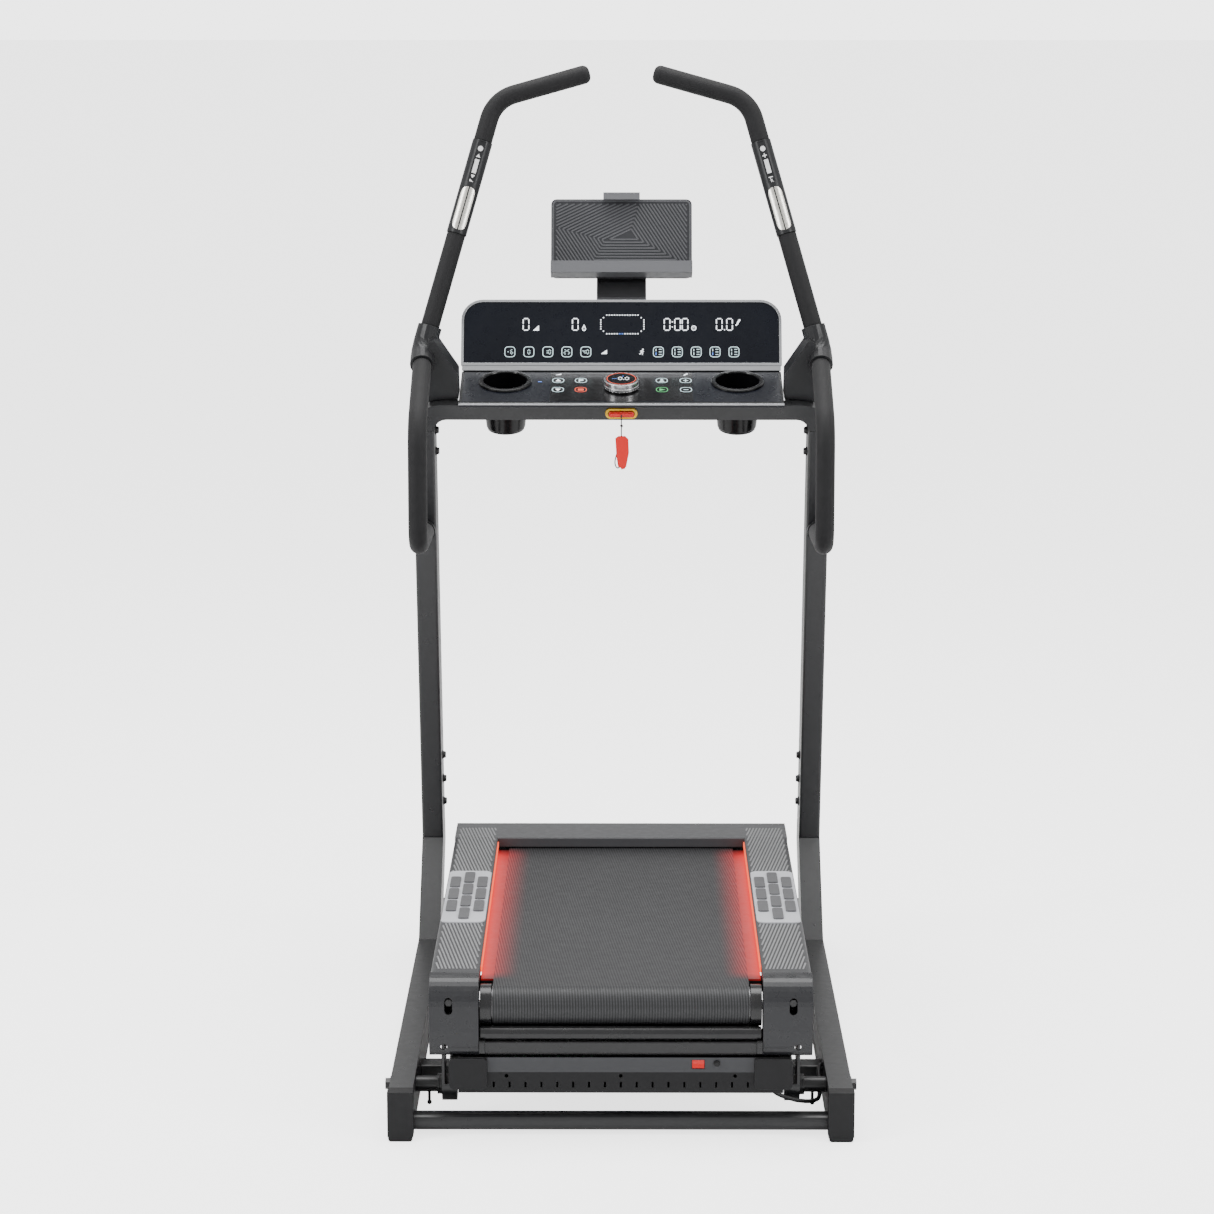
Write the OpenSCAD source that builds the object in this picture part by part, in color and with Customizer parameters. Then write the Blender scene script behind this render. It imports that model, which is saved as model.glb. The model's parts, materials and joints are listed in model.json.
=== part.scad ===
// Incline treadmill: a low base, two leaning uprights, a deck that pivots near its rear end
// and a console portal with bent handlebars. Y runs forward, the direction the user faces.
// Lengths along Y are given from the rear end of the base and centred by frame().

/* [Base] */
// Length of the base rails over their end caps
base_len = 1150; // [1130:5:1200]
// Width over the two base rails
base_w = 762; // [755:1:800]
// Width of a rail and of an upright, across the machine
rail_w = 40; // [36:1:40]
// Top of the base rails above the floor
rail_top = 83; // [80:1:84]

/* [Deck] */
// Width over the side covers
deck_w = 626; // [610:1:630]
// Height of the foot rails when the deck is level
deck_top = 272; // [270:1:276]
// Width of the running belt
belt_w = 420; // [400:1:422]
// Radius of the belt where it turns round a roller
belt_r = 32; // [31:0.5:32.5]
// Distance between the two roller axes
roller_span = 900; // [880:1:905]

/* [Uprights] */
// Lean of the uprights towards the user, in degrees
upright_lean = 12; // [11.5:0.1:12.5]
// Depth of an upright, front to back
upright_d = 80; // [70:1:84]

/* [Console] */
// Width of the console
console_w = 590; // [580:1:592]
// Tilt of the lower panel, in degrees
tray_tilt = 15.4; // [15:0.1:16]
// Recline of the display, in degrees from level
display_tilt = 64.8; // [63:0.1:66]
// Distance of each cup holder from the middle
cup_x = 213; // [200:1:216]

/* [Handlebars] */
// Outer radius of the foam grips
grip_r = 17; // [16:0.5:17.5]
// Radius of the steel handlebar
bar_r = 13.5; // [12:0.5:14]

/* [Tablet holder] */
// Width of the tablet plate
tablet_w = 263; // [240:1:270]
// Height of the tablet plate
tablet_h = 150; // [140:1:152]
// Recline of the tablet plate, in degrees from level
tablet_tilt = 70.6; // [69:0.1:72]

/* [Hidden] */
$fn = 48;

// Base
rail_x = base_w / 2 - rail_w / 2;
rail_in = base_w / 2 - rail_w;
rail_z0 = 8;
wall = 3;
cap_t = 3;

// Deck pivot, measured from the rear end of the base
pivot_y = 110;
pivot_z = 62;
pin_r = 7;
run_fit = 0.06;

// Legs and uprights
kink_y = 1021;
kink_z = 241;
upright_len = 829;
beam_s0 = 851;
beam_s1 = 879;

// Rollers
roller_y = 49;
roller_z = 219;
roller_r = 29.7;
belt_t = 2;

// Lift actuator pins, measured from the rear end of the base
lift_a = [320, 44];
lift_b = [520, 165];
lift_v = lift_b - lift_a;
lift_len = norm(lift_v);
lift_angle = atan2(lift_v[1], lift_v[0]);

// Console
tray_o = [0, 818, 1108];
tray_d = 147;
disp_o = [0, 966, 1157];
disp_h = 128;
cup_t = 95.5;
cup_r = 40;
dial_t = 69;
tab_o = [0, 1045, 1313];

// Handlebar corners on the right-hand side
bar_pts = [[66, 988, 1690], [232, 980, 1644], [361, 870, 1197], [361, 662, 1087],
           [361, 652, 872], [361, 884.5, 862]];
bar_bends = [0, 66, 46, 70, 40, 0];
bar_fit = 0.15;
sweep_sides = 18;
clamp_half = 46;
cup_depth = 15;

// Route of the safety lanyard, from the key to its loop at the clip
lanyard_pts = [[0, 828.4, 1084.4], [0, 825.5, 1083.5], [0, 822.5, 1082], [0, 820.5, 1079],
               [0, 820, 1075], [0, 820, 1070], [0.6, 820, 1065], [0, 820, 1060], [0, 820, 1054],
               [0, 821, 1046], [-1, 823, 1040], [-3, 825, 1034], [-5, 826, 1027], [-7, 826, 1020],
               [-9, 826, 1012], [-11, 826, 1004], [-11.5, 826, 997], [-10, 826, 991],
               [-6.5, 825.5, 988], [-3, 825, 990], [-1.5, 824, 995], [-1.5, 822, 1000]];
lanyard_r = 1.1;

// Route of the console cable, from the deck housing into the right-hand rail
cable_pts = [[247, 62, 79], [247, 62, 74], [251, 62, 68], [258, 63, 62], [267, 65, 57],
             [278, 66, 53], [289, 68, 49], [300, 72, 46], [311, 79, 43], [321, 89, 41],
             [328, 101, 40], [331, 115, 41], [332, 130, 44], [332.5, 145, 49], [333, 160, 54],
             [333, 175, 59], [334, 188, 62.5], [336.5, 199, 64], [341.5, 207.5, 64.3],
             [348, 214, 64]];
cable_r = 3.5;

function unit(v) = v / norm(v);

// Control pods on the upper handlebars
d_up = unit(bar_pts[1] - bar_pts[2]);
d_side = unit(bar_pts[3] - bar_pts[2]);
pod_len = 176;
pod_p = bar_pts[2] + d_up * 222;
pod_q = pod_p + d_up * pod_len;
pod_r = 18.4;
pod_flat = 17;

// Deck covers, foot pads and drive motor
cover_in = 232;
cover_out = deck_w / 2;
cover_t = 3;
cover_y0 = 56.5;
cover_y1 = 983;
slot_rise = 15;
front_y = 905;
member_ys = [210, 430, 660, 880];
pad_x = 272;
pad_y0 = 338;
pad_y1 = 664;
motor_y = 186;
motor_z = 125;
motor_r = 39;
shaft_r = 8;
pulley_r = 16;
big_pulley_r = 30;
belt_x = 242;

function arc(cx, cy, r, a0, a1, n) =
    [for (i = [0:n]) [cx + r * cos(a0 + (a1 - a0) * i / n), cy + r * sin(a0 + (a1 - a0) * i / n)]];
function rounded(w, h, r, n = 4) = concat(
    arc(w / 2 - r, h / 2 - r, r, 0, 90, n), arc(r - w / 2, h / 2 - r, r, 90, 180, n),
    arc(r - w / 2, r - h / 2, r, 180, 270, n), arc(w / 2 - r, r - h / 2, r, 270, 360, n));

module frame() { translate([0, -base_len / 2, 0]) children(); }
module pair() {
    children();
    mirror([1, 0, 0]) children();
}
module on_side(side) { mirror([side < 0 ? 1 : 0, 0, 0]) children(); }
// A profile drawn in Y and Z, extruded across X between two planes
module across(x0, x1) {
    translate([x0, 0, 0]) rotate([90, 0, 90]) linear_extrude(x1 - x0) children();
}
module rod_x(x0, x1, y, z, r) { translate([x0, y, z]) rotate([0, 90, 0]) cylinder(r = r, h = x1 - x0); }
module on_upright() { translate([0, kink_y, kink_z]) rotate([upright_lean, 0, 0]) children(); }
module on_tray() { translate(tray_o) rotate([tray_tilt, 0, 0]) children(); }
module on_display() { translate(disp_o) rotate([display_tilt, 0, 0]) children(); }
module on_tablet() { translate(tab_o) rotate([tablet_tilt, 0, 0]) children(); }
// Places children at p with local Z along z and local Y as near to towards as it can be
module aimed(p, z, towards) {
    zz = unit(z);
    yy = unit(towards - (towards * zz) * zz);
    xx = cross(yy, zz);
    multmatrix([[xx[0], yy[0], zz[0], p[0]], [xx[1], yy[1], zz[1], p[1]], [xx[2], yy[2], zz[2], p[2]]])
        children();
}

// Points along straight lines with a round bend at each corner
function bent(pts, bends) = let (
    n = len(pts),
    d = [for (i = [0:n - 2]) unit(pts[i + 1] - pts[i])],
    turn = [for (i = [0:n - 1]) (i == 0 || i == n - 1) ? 0 : acos(d[i - 1] * d[i])])
    concat([pts[0]],
        [for (i = [1:1:n - 2]) let (
            steps = max(2, round(turn[i] / 9)),
            start = pts[i] - d[i - 1] * bends[i] * tan(turn[i] / 2),
            w = unit(d[i] - (d[i - 1] * d[i]) * d[i - 1]))
            for (k = [0:steps]) let (t = turn[i] * k / steps)
                start + bends[i] * (d[i - 1] * sin(t) + w * (1 - cos(t)))],
        [pts[n - 1]]);

// Round tube or cord swept along a list of points, as one closed polyhedron
function tangent(p, i) = unit(
    (i < len(p) - 1 ? unit(p[i + 1] - p[i]) : [0, 0, 0]) + (i > 0 ? unit(p[i] - p[i - 1]) : [0, 0, 0]));
module swept(p, r, sides = sweep_sides) {
    n = len(p);
    side = [0.6, 0.2, 0.77];
    pts = [for (i = [0:n - 1]) let (t = tangent(p, i), a = unit(side - (side * t) * t), b = cross(t, a))
        for (k = [0:sides - 1]) p[i] + r * (a * cos(360 * k / sides) + b * sin(360 * k / sides))];
    polyhedron(pts, concat(
        [[for (k = [0:sides - 1]) k]],
        [for (i = [0:n - 2], k = [0:sides - 1]) let (a = i * sides, m = (k + 1) % sides)
            [a + k, a + sides + k, a + sides + m]],
        [for (i = [0:n - 2], k = [0:sides - 1]) let (a = i * sides, m = (k + 1) % sides)
            [a + k, a + sides + m, a + m]],
        [[for (k = [sides - 1:-1:0]) (n - 1) * sides + k]]));
}
module sleeve(pts, bends, ro, ri, over = 1) {
    n = len(pts);
    longer = [for (i = [0:n - 1]) i == 0 ? pts[0] - over * unit(pts[1] - pts[0])
        : i == n - 1 ? pts[i] + over * unit(pts[i] - pts[i - 1]) : pts[i]];
    difference() {
        swept(bent(pts, bends), ro);
        swept(bent(longer, bends), ri);
    }
}
module button_head(r, h) {
    rotate_extrude() difference() {
        polygon(concat([[0, 0], [r, 0]], arc(0, 0, r, 20, 75, 5),
            [[r * 0.25, h], [r * 0.25, h - 2.2], [0, h - 2.2]]));
        translate([0, h]) square([2 * r, r]);
    }
}

// ---- base ----
module base_rails() {
    leg = [[871, rail_top - 1], [kink_y, kink_z], [kink_y + upright_d - 1, kink_z + 17.3],
           [1108, 216], [981, rail_top - 1]];
    color("dimgray") frame() pair() difference() {
        union() {
            difference() {
                translate([rail_in, cap_t + 0.2, rail_z0])
                    cube([rail_w, base_len - 2 * cap_t - 0.4, rail_top - rail_z0]);
                translate([rail_in + wall, 0, rail_z0 + wall])
                    cube([rail_w - 2 * wall, 860, rail_top - rail_z0 - 2 * wall]);
            }
            across(rail_in, base_w / 2) polygon(leg);
            on_upright() translate([rail_x - 16, 4, -8]) cube([32, upright_d - 8, 249]);
        }
        rod_x(rail_in - 1, base_w / 2 + 1, pivot_y, pivot_z, pin_r + 0.2);
        rod_x(rail_in - 1, base_w / 2 + 1, 1118, 29, 5.2);
        on_upright() for (s = [59, 107, 157]) rod_x(rail_in - 1, rail_x, 40, s, 4.2);
        rod_x(rail_in - 1, rail_in + wall + 1, 208.5, 64.2, 2 * cable_r + 1);
    }
}
module end_caps() {
    foot = concat(arc(rail_in + 5, 5, 5, 180, 270, 3), arc(base_w / 2 - 5, 5, 5, 270, 360, 3),
                  [[base_w / 2, rail_z0 - 0.2], [rail_in, rail_z0 - 0.2]]);
    color("black") frame() pair() {
        for (y = [60, base_len]) translate([0, y, 0]) rotate([90, 0, 0]) linear_extrude(60) polygon(foot);
        for (end = [0, 1]) translate([0, end * base_len, 0]) mirror([0, end, 0]) difference() {
            translate([rail_in - 1.2, 0, rail_z0 - 0.2]) cube([rail_w + 2.4, 26, rail_top - rail_z0 + 1.4]);
            translate([rail_in - 0.1, cap_t, rail_z0 - 1]) cube([rail_w + 0.2, 30, rail_top - rail_z0 + 1.1]);
        }
    }
}
module base_cross_tubes() {
    color("dimgray") frame() {
        across(-rail_in, rail_in) translate([47, 21]) difference() {
            polygon(rounded(36, 26, 10));
            polygon(rounded(32, 22, 8));
        }
        across(-rail_in, rail_in) translate([282, 27]) difference() {
            polygon(rounded(40, 30, 4));
            polygon(rounded(35, 25, 2));
        }
        across(-rail_in, rail_in) translate([1060, 32]) difference() {
            polygon(rounded(50, 40, 4));
            polygon(rounded(45, 35, 2));
        }
        for (x = [-34, 28]) difference() {
            across(x, x + 6) union() {
                polygon([[302, 14], [lift_a[0], lift_a[1] - 12], [lift_a[0], lift_a[1] + 12], [302, 58]]);
                translate(lift_a) circle(r = 12);
            }
            rod_x(x - 1, x + 7, lift_a[0], lift_a[1], 6.1);
        }
    }
}
module pivot_bolts() {
    color("silver") frame() pair() {
        rod_x(base_w / 2, base_w / 2 + 2.5, pivot_y, pivot_z, 13);
        rod_x(base_w / 2 + 2.5, base_w / 2 + 11, pivot_y, pivot_z, 10, $fn = 6);
        rod_x(262, base_w / 2, pivot_y, pivot_z, pin_r);
        difference() {
            rod_x(305, rail_in - 0.1, pivot_y, pivot_z, 13);
            translate([319, pivot_y, pivot_z - 25]) cylinder(r = 2.5, h = 16);
        }
        rod_x(297.4, 300.8, pivot_y, pivot_z, 17);
        rod_x(301.4, 304.8, pivot_y, pivot_z, 17);
        rod_x(257, 264.6, pivot_y, pivot_z, 11, $fn = 6);
        translate([319, pivot_y, pivot_z - 30]) cylinder(r = 2.4, h = 21);
        translate([319, pivot_y, pivot_z - 32]) sphere(r = 4);
        rod_x(rail_in - 27, base_w / 2 + 1, 1118, 29, 5);
        rod_x(rail_in - 31, rail_in - 27, 1118, 29, 8, $fn = 6);
    }
}
module transport_wheel(side) {
    color("black") frame() on_side(side) translate([rail_in - 26.5, 1118, 29]) rotate([0, 90, 0])
        rotate_extrude() polygon(concat([[5.06, 0], [12, 0], [13, 3], [20, 3], [21, 0]],
            arc(21, 5, 5, 270, 360, 3), arc(21, 20, 5, 0, 90, 3),
            [[21, 25], [20, 22], [13, 22], [12, 25], [5.06, 25]]));
}
module transport_wheel_left() { transport_wheel(-1); }
module transport_wheel_right() { transport_wheel(1); }

// ---- uprights ----
module upright(side) {
    color("dimgray") frame() on_side(side) on_upright() difference() {
        translate([rail_x, upright_d / 2, 1.5]) linear_extrude(upright_len - 2) difference() {
            polygon(rounded(rail_w, upright_d, 4));
            polygon(rounded(rail_w - 5, upright_d - 5, 2));
        }
        for (s = [59, 107, 157, 776, 817]) rod_x(rail_in - 1, rail_x, 40, s, 4.2);
    }
}
module upright_left() { upright(-1); }
module upright_right() { upright(1); }
module frame_bolts() {
    color("black") frame() pair() on_upright() for (s = [59, 107, 157, 776, 817])
        translate([rail_in - 0.1, 40, s]) rotate([0, -90, 0]) {
            translate([0, 0, 1.7]) button_head(7, 4.6);
            cylinder(r = 8.5, h = 1.6);
            translate([0, 0, -9]) cylinder(r = 3.9, h = 9.2);
        }
}

// ---- console ----
module console_beam() {
    s0 = upright_len;
    r_out = beam_s1 - s0;
    r_in = beam_s0 - s0;
    half = base_w / 2;
    profile = concat(arc(half - r_out, beam_s1 - r_out, r_out, 0, 90, 8),
        arc(r_out - half, beam_s1 - r_out, r_out, 90, 180, 8),
        arc(r_in - rail_in, beam_s0 - r_in, r_in, 180, 90, 5),
        arc(rail_in - r_in, beam_s0 - r_in, r_in, 90, 0, 5));
    color("dimgray") frame() on_upright() {
        difference() {
            translate([0, upright_d, 0]) rotate([90, 0, 0]) linear_extrude(upright_d) polygon(profile);
            translate([-300, 27, s0]) cube([600, upright_d, 80]);
        }
        pair() difference() {
            translate([rail_x - 16.5, 4, 750]) cube([33, upright_d - 8, s0 - 750 + 4]);
            for (s = [776, 817]) rod_x(rail_in, rail_x, 40, s, 4.2);
        }
    }
}
module console_tray() {
    half = console_w / 2;
    color("darkslategray") frame() on_tray() difference() {
        translate([-half, 0, 0]) rotate([90, 0, 90]) linear_extrude(console_w)
            polygon(concat(arc(4, -4, 4, 90, 180, 3),
                [[0, -9], [12, -9.5], [20, -9.5], [tray_d, -12], [tray_d, 0]]));
        for (x = [-cup_x, cup_x]) translate([x, cup_t, -20]) cylinder(r = cup_r + 3.3, h = 30);
        translate([-half + 5, 4, -2.5]) cube([console_w - 10, tray_d - 8, 5]);
        translate([0, dial_t, -7]) cylinder(r = 15.2, h = 20);
    }
}
module console_back() {
    half = console_w / 2 - 2;
    color("black") frame() difference() {
        intersection() {
            across(-half, half) polygon(concat([[921, 1119.5], [964.2, 1133], [963.5, 1146], [967.2, 1152.5],
    [1015, 1257]], arc(1040, 1268, 12, 100, 0, 4), [[1016, 1150]],
                arc(975, 1122, 24, -10, -95, 4), [[930, 1092]]));
            union() {
                translate([-half - 1, 900, 1080]) cube([2 * half + 2, 160, 90]);
                on_display() translate([0, 0, -70]) linear_extrude(80) polygon(display_outline(2.5));
            }
        }
        on_tray() for (x = [-cup_x, cup_x]) translate([x, cup_t, -95]) cylinder(r = cup_r + 4, h = 110);
        translate([-50, 1020, 1225]) cube([100, 60, 60]);
        for (x = [-150, 150]) for (k = [0:5]) translate([x - 40, 1000, 1128 + 9 * k]) cube([80, 60, 4]);
    }
}
module touch_panels() {
    color("midnightblue") frame() {
        on_tray() difference() {
            translate([-console_w / 2 + 5.2, 4.2, -2.3]) cube([console_w - 10.4, tray_d - 8.4, 2.8]);
            for (x = [-cup_x, cup_x]) translate([x, cup_t, -20]) cylinder(r = cup_r + 3.3, h = 30);
            translate([0, dial_t, -7]) cylinder(r = 15.2, h = 20);
        }
        on_display() linear_extrude(3) polygon(display_outline(5));
    }
}
function display_outline(inset) = let (half = console_w / 2 + 2 - inset, r = 40 - inset) concat(
    [[half, inset]], arc(half - r, disp_h - inset - r, r, 0, 90, 8),
    arc(r - half, disp_h - inset - r, r, 90, 180, 8), [[-half, inset]]);
module display_bezel() {
    color("silver") frame() {
        on_display() difference() {
            translate([0, 0, -1.5]) linear_extrude(6) polygon(display_outline(0));
            translate([0, 0, -2]) linear_extrude(7) polygon(display_outline(4.8));
        }
        on_display() translate([-console_w / 2, -9.5, -1]) cube([console_w, 9.3, 4]);
        on_tray() translate([-console_w / 2, -3.2, -8.6]) rotate([90, 0, 90]) linear_extrude(console_w)
            polygon([[0, 1], [1, 0], [3, 0], [3, 8.5], [1.5, 8.5], [0, 7]]);
    }
}
module cup_holders() {
    color("black") frame() on_tray() for (x = [-cup_x, cup_x]) translate([x, cup_t, 0])
        rotate_extrude($fn = 96) polygon(concat([[0, -90], [34, -90]], arc(32, -84, 4, -60, 0, 3),
            [[cup_r + 2.8, -16], [cup_r + 2.8, 0.7], [49, 0.7]], arc(46, 2, 3, 0, 90, 3),
            [[cup_r + 1, 5], [cup_r, 3], [cup_r - 0.5, -16], [33, -86], [0, -86]]));
}
module dial_base() {
    color("black") frame() on_tray() translate([0, dial_t, 0]) rotate_extrude($fn = 96)
        polygon([[0, -6], [15, -6], [15, 0.7], [31, 0.7], [31, 2.6], [15, 2.6], [15, 16.3], [28, 16.3],
                 [28, 18.5], [27.5, 19], [0, 19]]);
}
module dial_ring() {
    color("silver") frame() on_tray() translate([0, dial_t, 0]) difference() {
        rotate_extrude($fn = 96) polygon([[15.3, 3], [31, 3], [32, 4.2], [32, 9], [31.2, 9.6], [31.2, 10.4],
            [32, 11], [32, 17.2], [30.8, 18.6], [28.4, 18.8], [28.4, 15.9], [15.3, 15.9]]);
        for (a = [0:12:359]) rotate(a) translate([32.7, 0, 4.5]) cylinder(r = 1.1, h = 4, $fn = 13);
    }
}
module key_socket() {
    color("gold") frame() on_upright() translate([0, 0, 865]) rotate([90, 0, 0]) difference() {
        translate([0, 0, 0.2]) linear_extrude(5.8) polygon(rounded(58, 19, 9.4, 6));
        translate([0, 0, 2]) linear_extrude(8) polygon(rounded(49, 11.5, 5.7, 5));
    }
}
module safety_key() {
    color("red") frame() on_upright() translate([0, 0, 865]) rotate([90, 0, 0]) {
        translate([0, 0, 2.4]) linear_extrude(9) polygon(rounded(46, 9.6, 3));
        translate([0, 0, 11.4]) linear_extrude(2) polygon(rounded(42, 6, 2.9));
    }
}
module key_lanyard() { color("black") frame() swept(lanyard_pts, lanyard_r, 8); }
module key_clip() {
    color("red") frame() {
        translate([0, 817.5, 1018]) rotate([90, 0, 0]) linear_extrude(4) polygon([[-9, -8], [-11, 26],
            [-5, 30], [7, 30], [13, 24], [14, 0], [9, -26], [3, -30], [-6, -26]]);
        translate([0, 822.5, 1012]) rotate([90, 0, 0]) linear_extrude(4.4) polygon([[-5, 0], [-6, 22],
            [9, 24], [11, 0], [7, -24], [0, -26], [-3, -16]]);
    }
}

// ---- handlebars, the right-hand side mirrored to the left ----
module handlebar(side) {
    color("gray") frame() on_side(side) swept(bent(bar_pts, bar_bends), bar_r);
}
module handlebar_left() { handlebar(-1); }
module handlebar_right() { handlebar(1); }
module grip_sleeves() {
    ri = (bar_r + bar_fit) / cos(180 / sweep_sides);
    d_top = unit(bar_pts[0] - bar_pts[1]);
    low_end = bar_pts[5] - unit(bar_pts[5] - bar_pts[4]) * (cup_depth + 1);
    color("black") frame() pair() {
        sleeve([bar_pts[0] - d_top * 0.2, bar_pts[1], pod_q + d_up * 0.4], [0, bar_bends[1], 0], grip_r, ri);
        aimed(bar_pts[0] + d_top * 0.3, d_top, [0, -1, 0]) rotate_extrude()
            polygon(concat([[0, 0], [grip_r, 0]], arc(grip_r - 6, 2, 6, 0, 90, 4), [[0, 8]]));
        sleeve([pod_p - d_up * 0.4, bar_pts[2] + d_up * (clamp_half + 0.4)], [0, 0], grip_r, ri);
        sleeve([bar_pts[2] + d_side * (clamp_half + 0.4), bar_pts[3], bar_pts[4], low_end],
            [0, bar_bends[3], bar_bends[4], 0], grip_r, ri);
    }
}
module handlebar_clamps() {
    ends = [bar_pts[2] + d_up * clamp_half, bar_pts[2], bar_pts[2] + d_side * clamp_half];
    bends = [0, bar_bends[2], 0];
    color("dimgray") frame() pair() {
        sleeve(ends, bends, 22, bar_r + bar_fit);
        difference() {
            on_upright() translate([0, 74, 0]) rotate([90, 0, 0]) linear_extrude(50) polygon([[350, 990],
                [340, 996], [297, 929], [296.5, 884], [326, 882], [342, 880], [352, 876.5], [358, 940]]);
            swept(bent(ends, bends), 20);
        }
        bar_cup();
    }
}
// Cup that holds the lower end of a handlebar against the rear face of the upright
module bar_cup() {
    d = unit(bar_pts[5] - bar_pts[4]);
    difference() {
        aimed(bar_pts[5] - d * cup_depth, d, [1, 0, 0]) difference() {
            cylinder(r = grip_r + 2, h = cup_depth + 11);
            translate([0, 0, -1]) cylinder(r = bar_r + bar_fit, h = cup_depth + 13);
        }
        on_upright() translate([rail_x - 30, -0.15, 600]) cube([60, 60, 80]);
    }
}
module on_pod() { aimed(pod_p, d_up, [0, -1, 0]) children(); }
module control_pods() {
    color("black") frame() pair() on_pod() difference() {
        cylinder(r = pod_r, h = pod_len);
        translate([0, 0, -1]) cylinder(r = bar_r + 0.1, h = pod_len + 2);
        translate([-20, pod_flat, 96]) cube([40, 10, 78]);
        translate([0, 14.6, 160]) rotate([-90, 0, 0]) cylinder(r = 5.2, h = 10);
        translate([-4.3, 14.6, 112]) cube([8.6, 10, 28.6]);
    }
}
module start_key(side) {
    color("gray") frame() on_side(side) on_pod() translate([0, 15.9, 160]) rotate([-90, 0, 0])
        cylinder(r = 4.8, h = 2);
}
module start_key_left() { start_key(-1); }
module start_key_right() { start_key(1); }
module toggle(side) {
    color("gray") frame() on_side(side) on_pod() translate([-3.9, 0, 126.3]) rotate([90, 0, 90])
        linear_extrude(7.8) polygon([[16, -10], [17.6, -13.2], [18.6, -13.2], [17.6, 0], [18.6, 13.2],
            [17.6, 13.2], [16, 10]]);
    color("gray") frame() on_side(side) on_pod() rod_x(-4.2, 4.2, 16, 126.3, 1.2);
}
module incline_toggle() { toggle(-1); }
module speed_toggle() { toggle(1); }
module pulse_plates() {
    color("silver") frame() pair() on_pod() for (a = [62, 118]) difference() {
        rotate([0, 0, a - 21]) translate([0, 0, 4]) rotate_extrude(angle = 42)
            translate([pod_r + 0.1, 0]) square([1.2, 84]);
        translate([0, 0, 46]) rotate([0, 0, a]) translate([12, -1.2, -34]) cube([9, 2.4, 68]);
    }
}

// ---- tablet holder ----
module tablet_neck() {
    color("silver") frame() {
        translate([-46, 1024, 1226]) cube([92, 22, 52]);
        across(-46, 46) polygon([[1026, 1278], [1046, 1278], [1067, 1335], [1061.8, 1335], [1053, 1309.8],
            [1046, 1304]]);
    }
}
module tablet_plate() {
    half = tablet_w / 2;
    color("dimgray") frame() on_tablet() difference() {
        union() {
            translate([0, tablet_h / 2, -8]) linear_extrude(8) polygon(rounded(tablet_w, tablet_h, 10));
            translate([-half, 0, -2]) cube([tablet_w, 16, 42]);
            translate([-half, 0, 36]) cube([tablet_w, 22, 6]);
        }
        for (x = [-half - 1, half - 21]) translate([x, 10, 6]) cube([22, 14, 24]);
        translate([-10, 14, 6]) cube([20, 10, 24]);
        translate([-30, 40, -6.4]) cube([60, tablet_h, 4.8]);
    }
}
module tablet_clamp() {
    color("black") frame() on_tablet() {
        translate([-29.5, 45, -6]) cube([59, tablet_h - 39, 4]);
        translate([-34, tablet_h + 0.4, -6]) cube([68, 6, 31.4]);
        translate([-34, tablet_h - 7, 21]) cube([68, 13, 4.4]);
    }
}

// ---- lift actuator ----
module lift_motor() {
    color("gray") frame() difference() {
        translate([0, lift_a[0], lift_a[1]]) rotate([lift_angle, 0, 0]) {
            rod_x(-26, 26, 0, 0, 12);
            translate([-26, 0, -12]) cube([52, 30, 24]);
            translate([-27, 22, -24]) cube([54, 42, 46]);
            translate([0, 63, 0]) rotate([-90, 0, 0]) cylinder(r = 17, h = 127);
            rod_x(27, 118, 43, 0, 24);
            rod_x(118, 122, 43, 0, 19);
        }
        rod_x(-30, 30, lift_a[0], lift_a[1], 6.1);
        translate([0, lift_a[0], lift_a[1]]) rotate([lift_angle - 90, 0, 0]) translate([0, 0, 65])
            cylinder(r = 11.3, h = 130);
    }
    color("silver") frame() rod_x(-36, 36, lift_a[0], lift_a[1], 6);
}
module lift_rod() {
    color("silver") frame() translate([0, lift_a[0], lift_a[1]]) rotate([lift_angle, 0, 0]) difference() {
        union() {
            translate([0, 76, 0]) rotate([-90, 0, 0]) cylinder(r = 11, h = lift_len - 92);
            rod_x(-11, 11, lift_len, 0, 19);
        }
        rod_x(-12, 12, lift_len, 0, 11.5);
    }
}

// ---- deck ----
module deck_side_members() {
    color("dimgray") frame() pair() {
        across(270, 300) translate([520, 215]) difference() {
            polygon(rounded(900, 48, 4));
            polygon(rounded(894, 42, 2));
        }
        difference() {
            across(272, 296.8) difference() {
                union() {
                    polygon([[84, 192], [84, 66], [136, 66], [200, 192]]);
                    translate([pivot_y, pivot_z]) circle(r = 27);
                }
                translate([pivot_y, pivot_z]) circle(r = pin_r + run_fit);
            }
            translate([277, 0, 70]) cube([15, 400, 110]);
        }
        across(292, 300) polygon([[536, 191], [534, 150], [590, 150], [588, 191]]);
        translate([281, 70, 232]) rotate([90, 0, 0]) cylinder(r = 4, h = 50);
        translate([281, 20, 232]) rotate([90, 0, 0]) cylinder(r = 6.5, h = 4, $fn = 6);
    }
}
module deck_cross_members() {
    color("dimgray") frame() {
        for (y = member_ys) translate([-270, y - 15, 195]) cube([540, 30, 19.5]);
        translate([-291.8, 549, 151]) cube([583.6, 28, 28]);
        for (x = [-24, 18]) difference() {
            across(x, x + 6) union() {
                polygon([[lift_b[0], lift_b[1] - 14], [549, 151], [549, 179], [lift_b[0], lift_b[1] + 14]]);
                translate(lift_b) circle(r = 14);
            }
            rod_x(x - 1, x + 7, lift_b[0], lift_b[1], 6.1);
        }
        rod_x(-30, 30, lift_b[0], lift_b[1], 6);
        pair() for (end = [[roller_y, -18], [roller_y + roller_span, -52]]) across(263, 269.8) difference() {
            translate([end[0] + end[1], roller_z - 16]) square([70, 32]);
            translate([end[0], roller_z]) circle(r = shaft_r + run_fit);
        }
    }
}
module deck_board() {
    color("burlywood") frame() translate([-231, 96, 230.2]) cube([462, 806, 18.3]);
}
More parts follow.
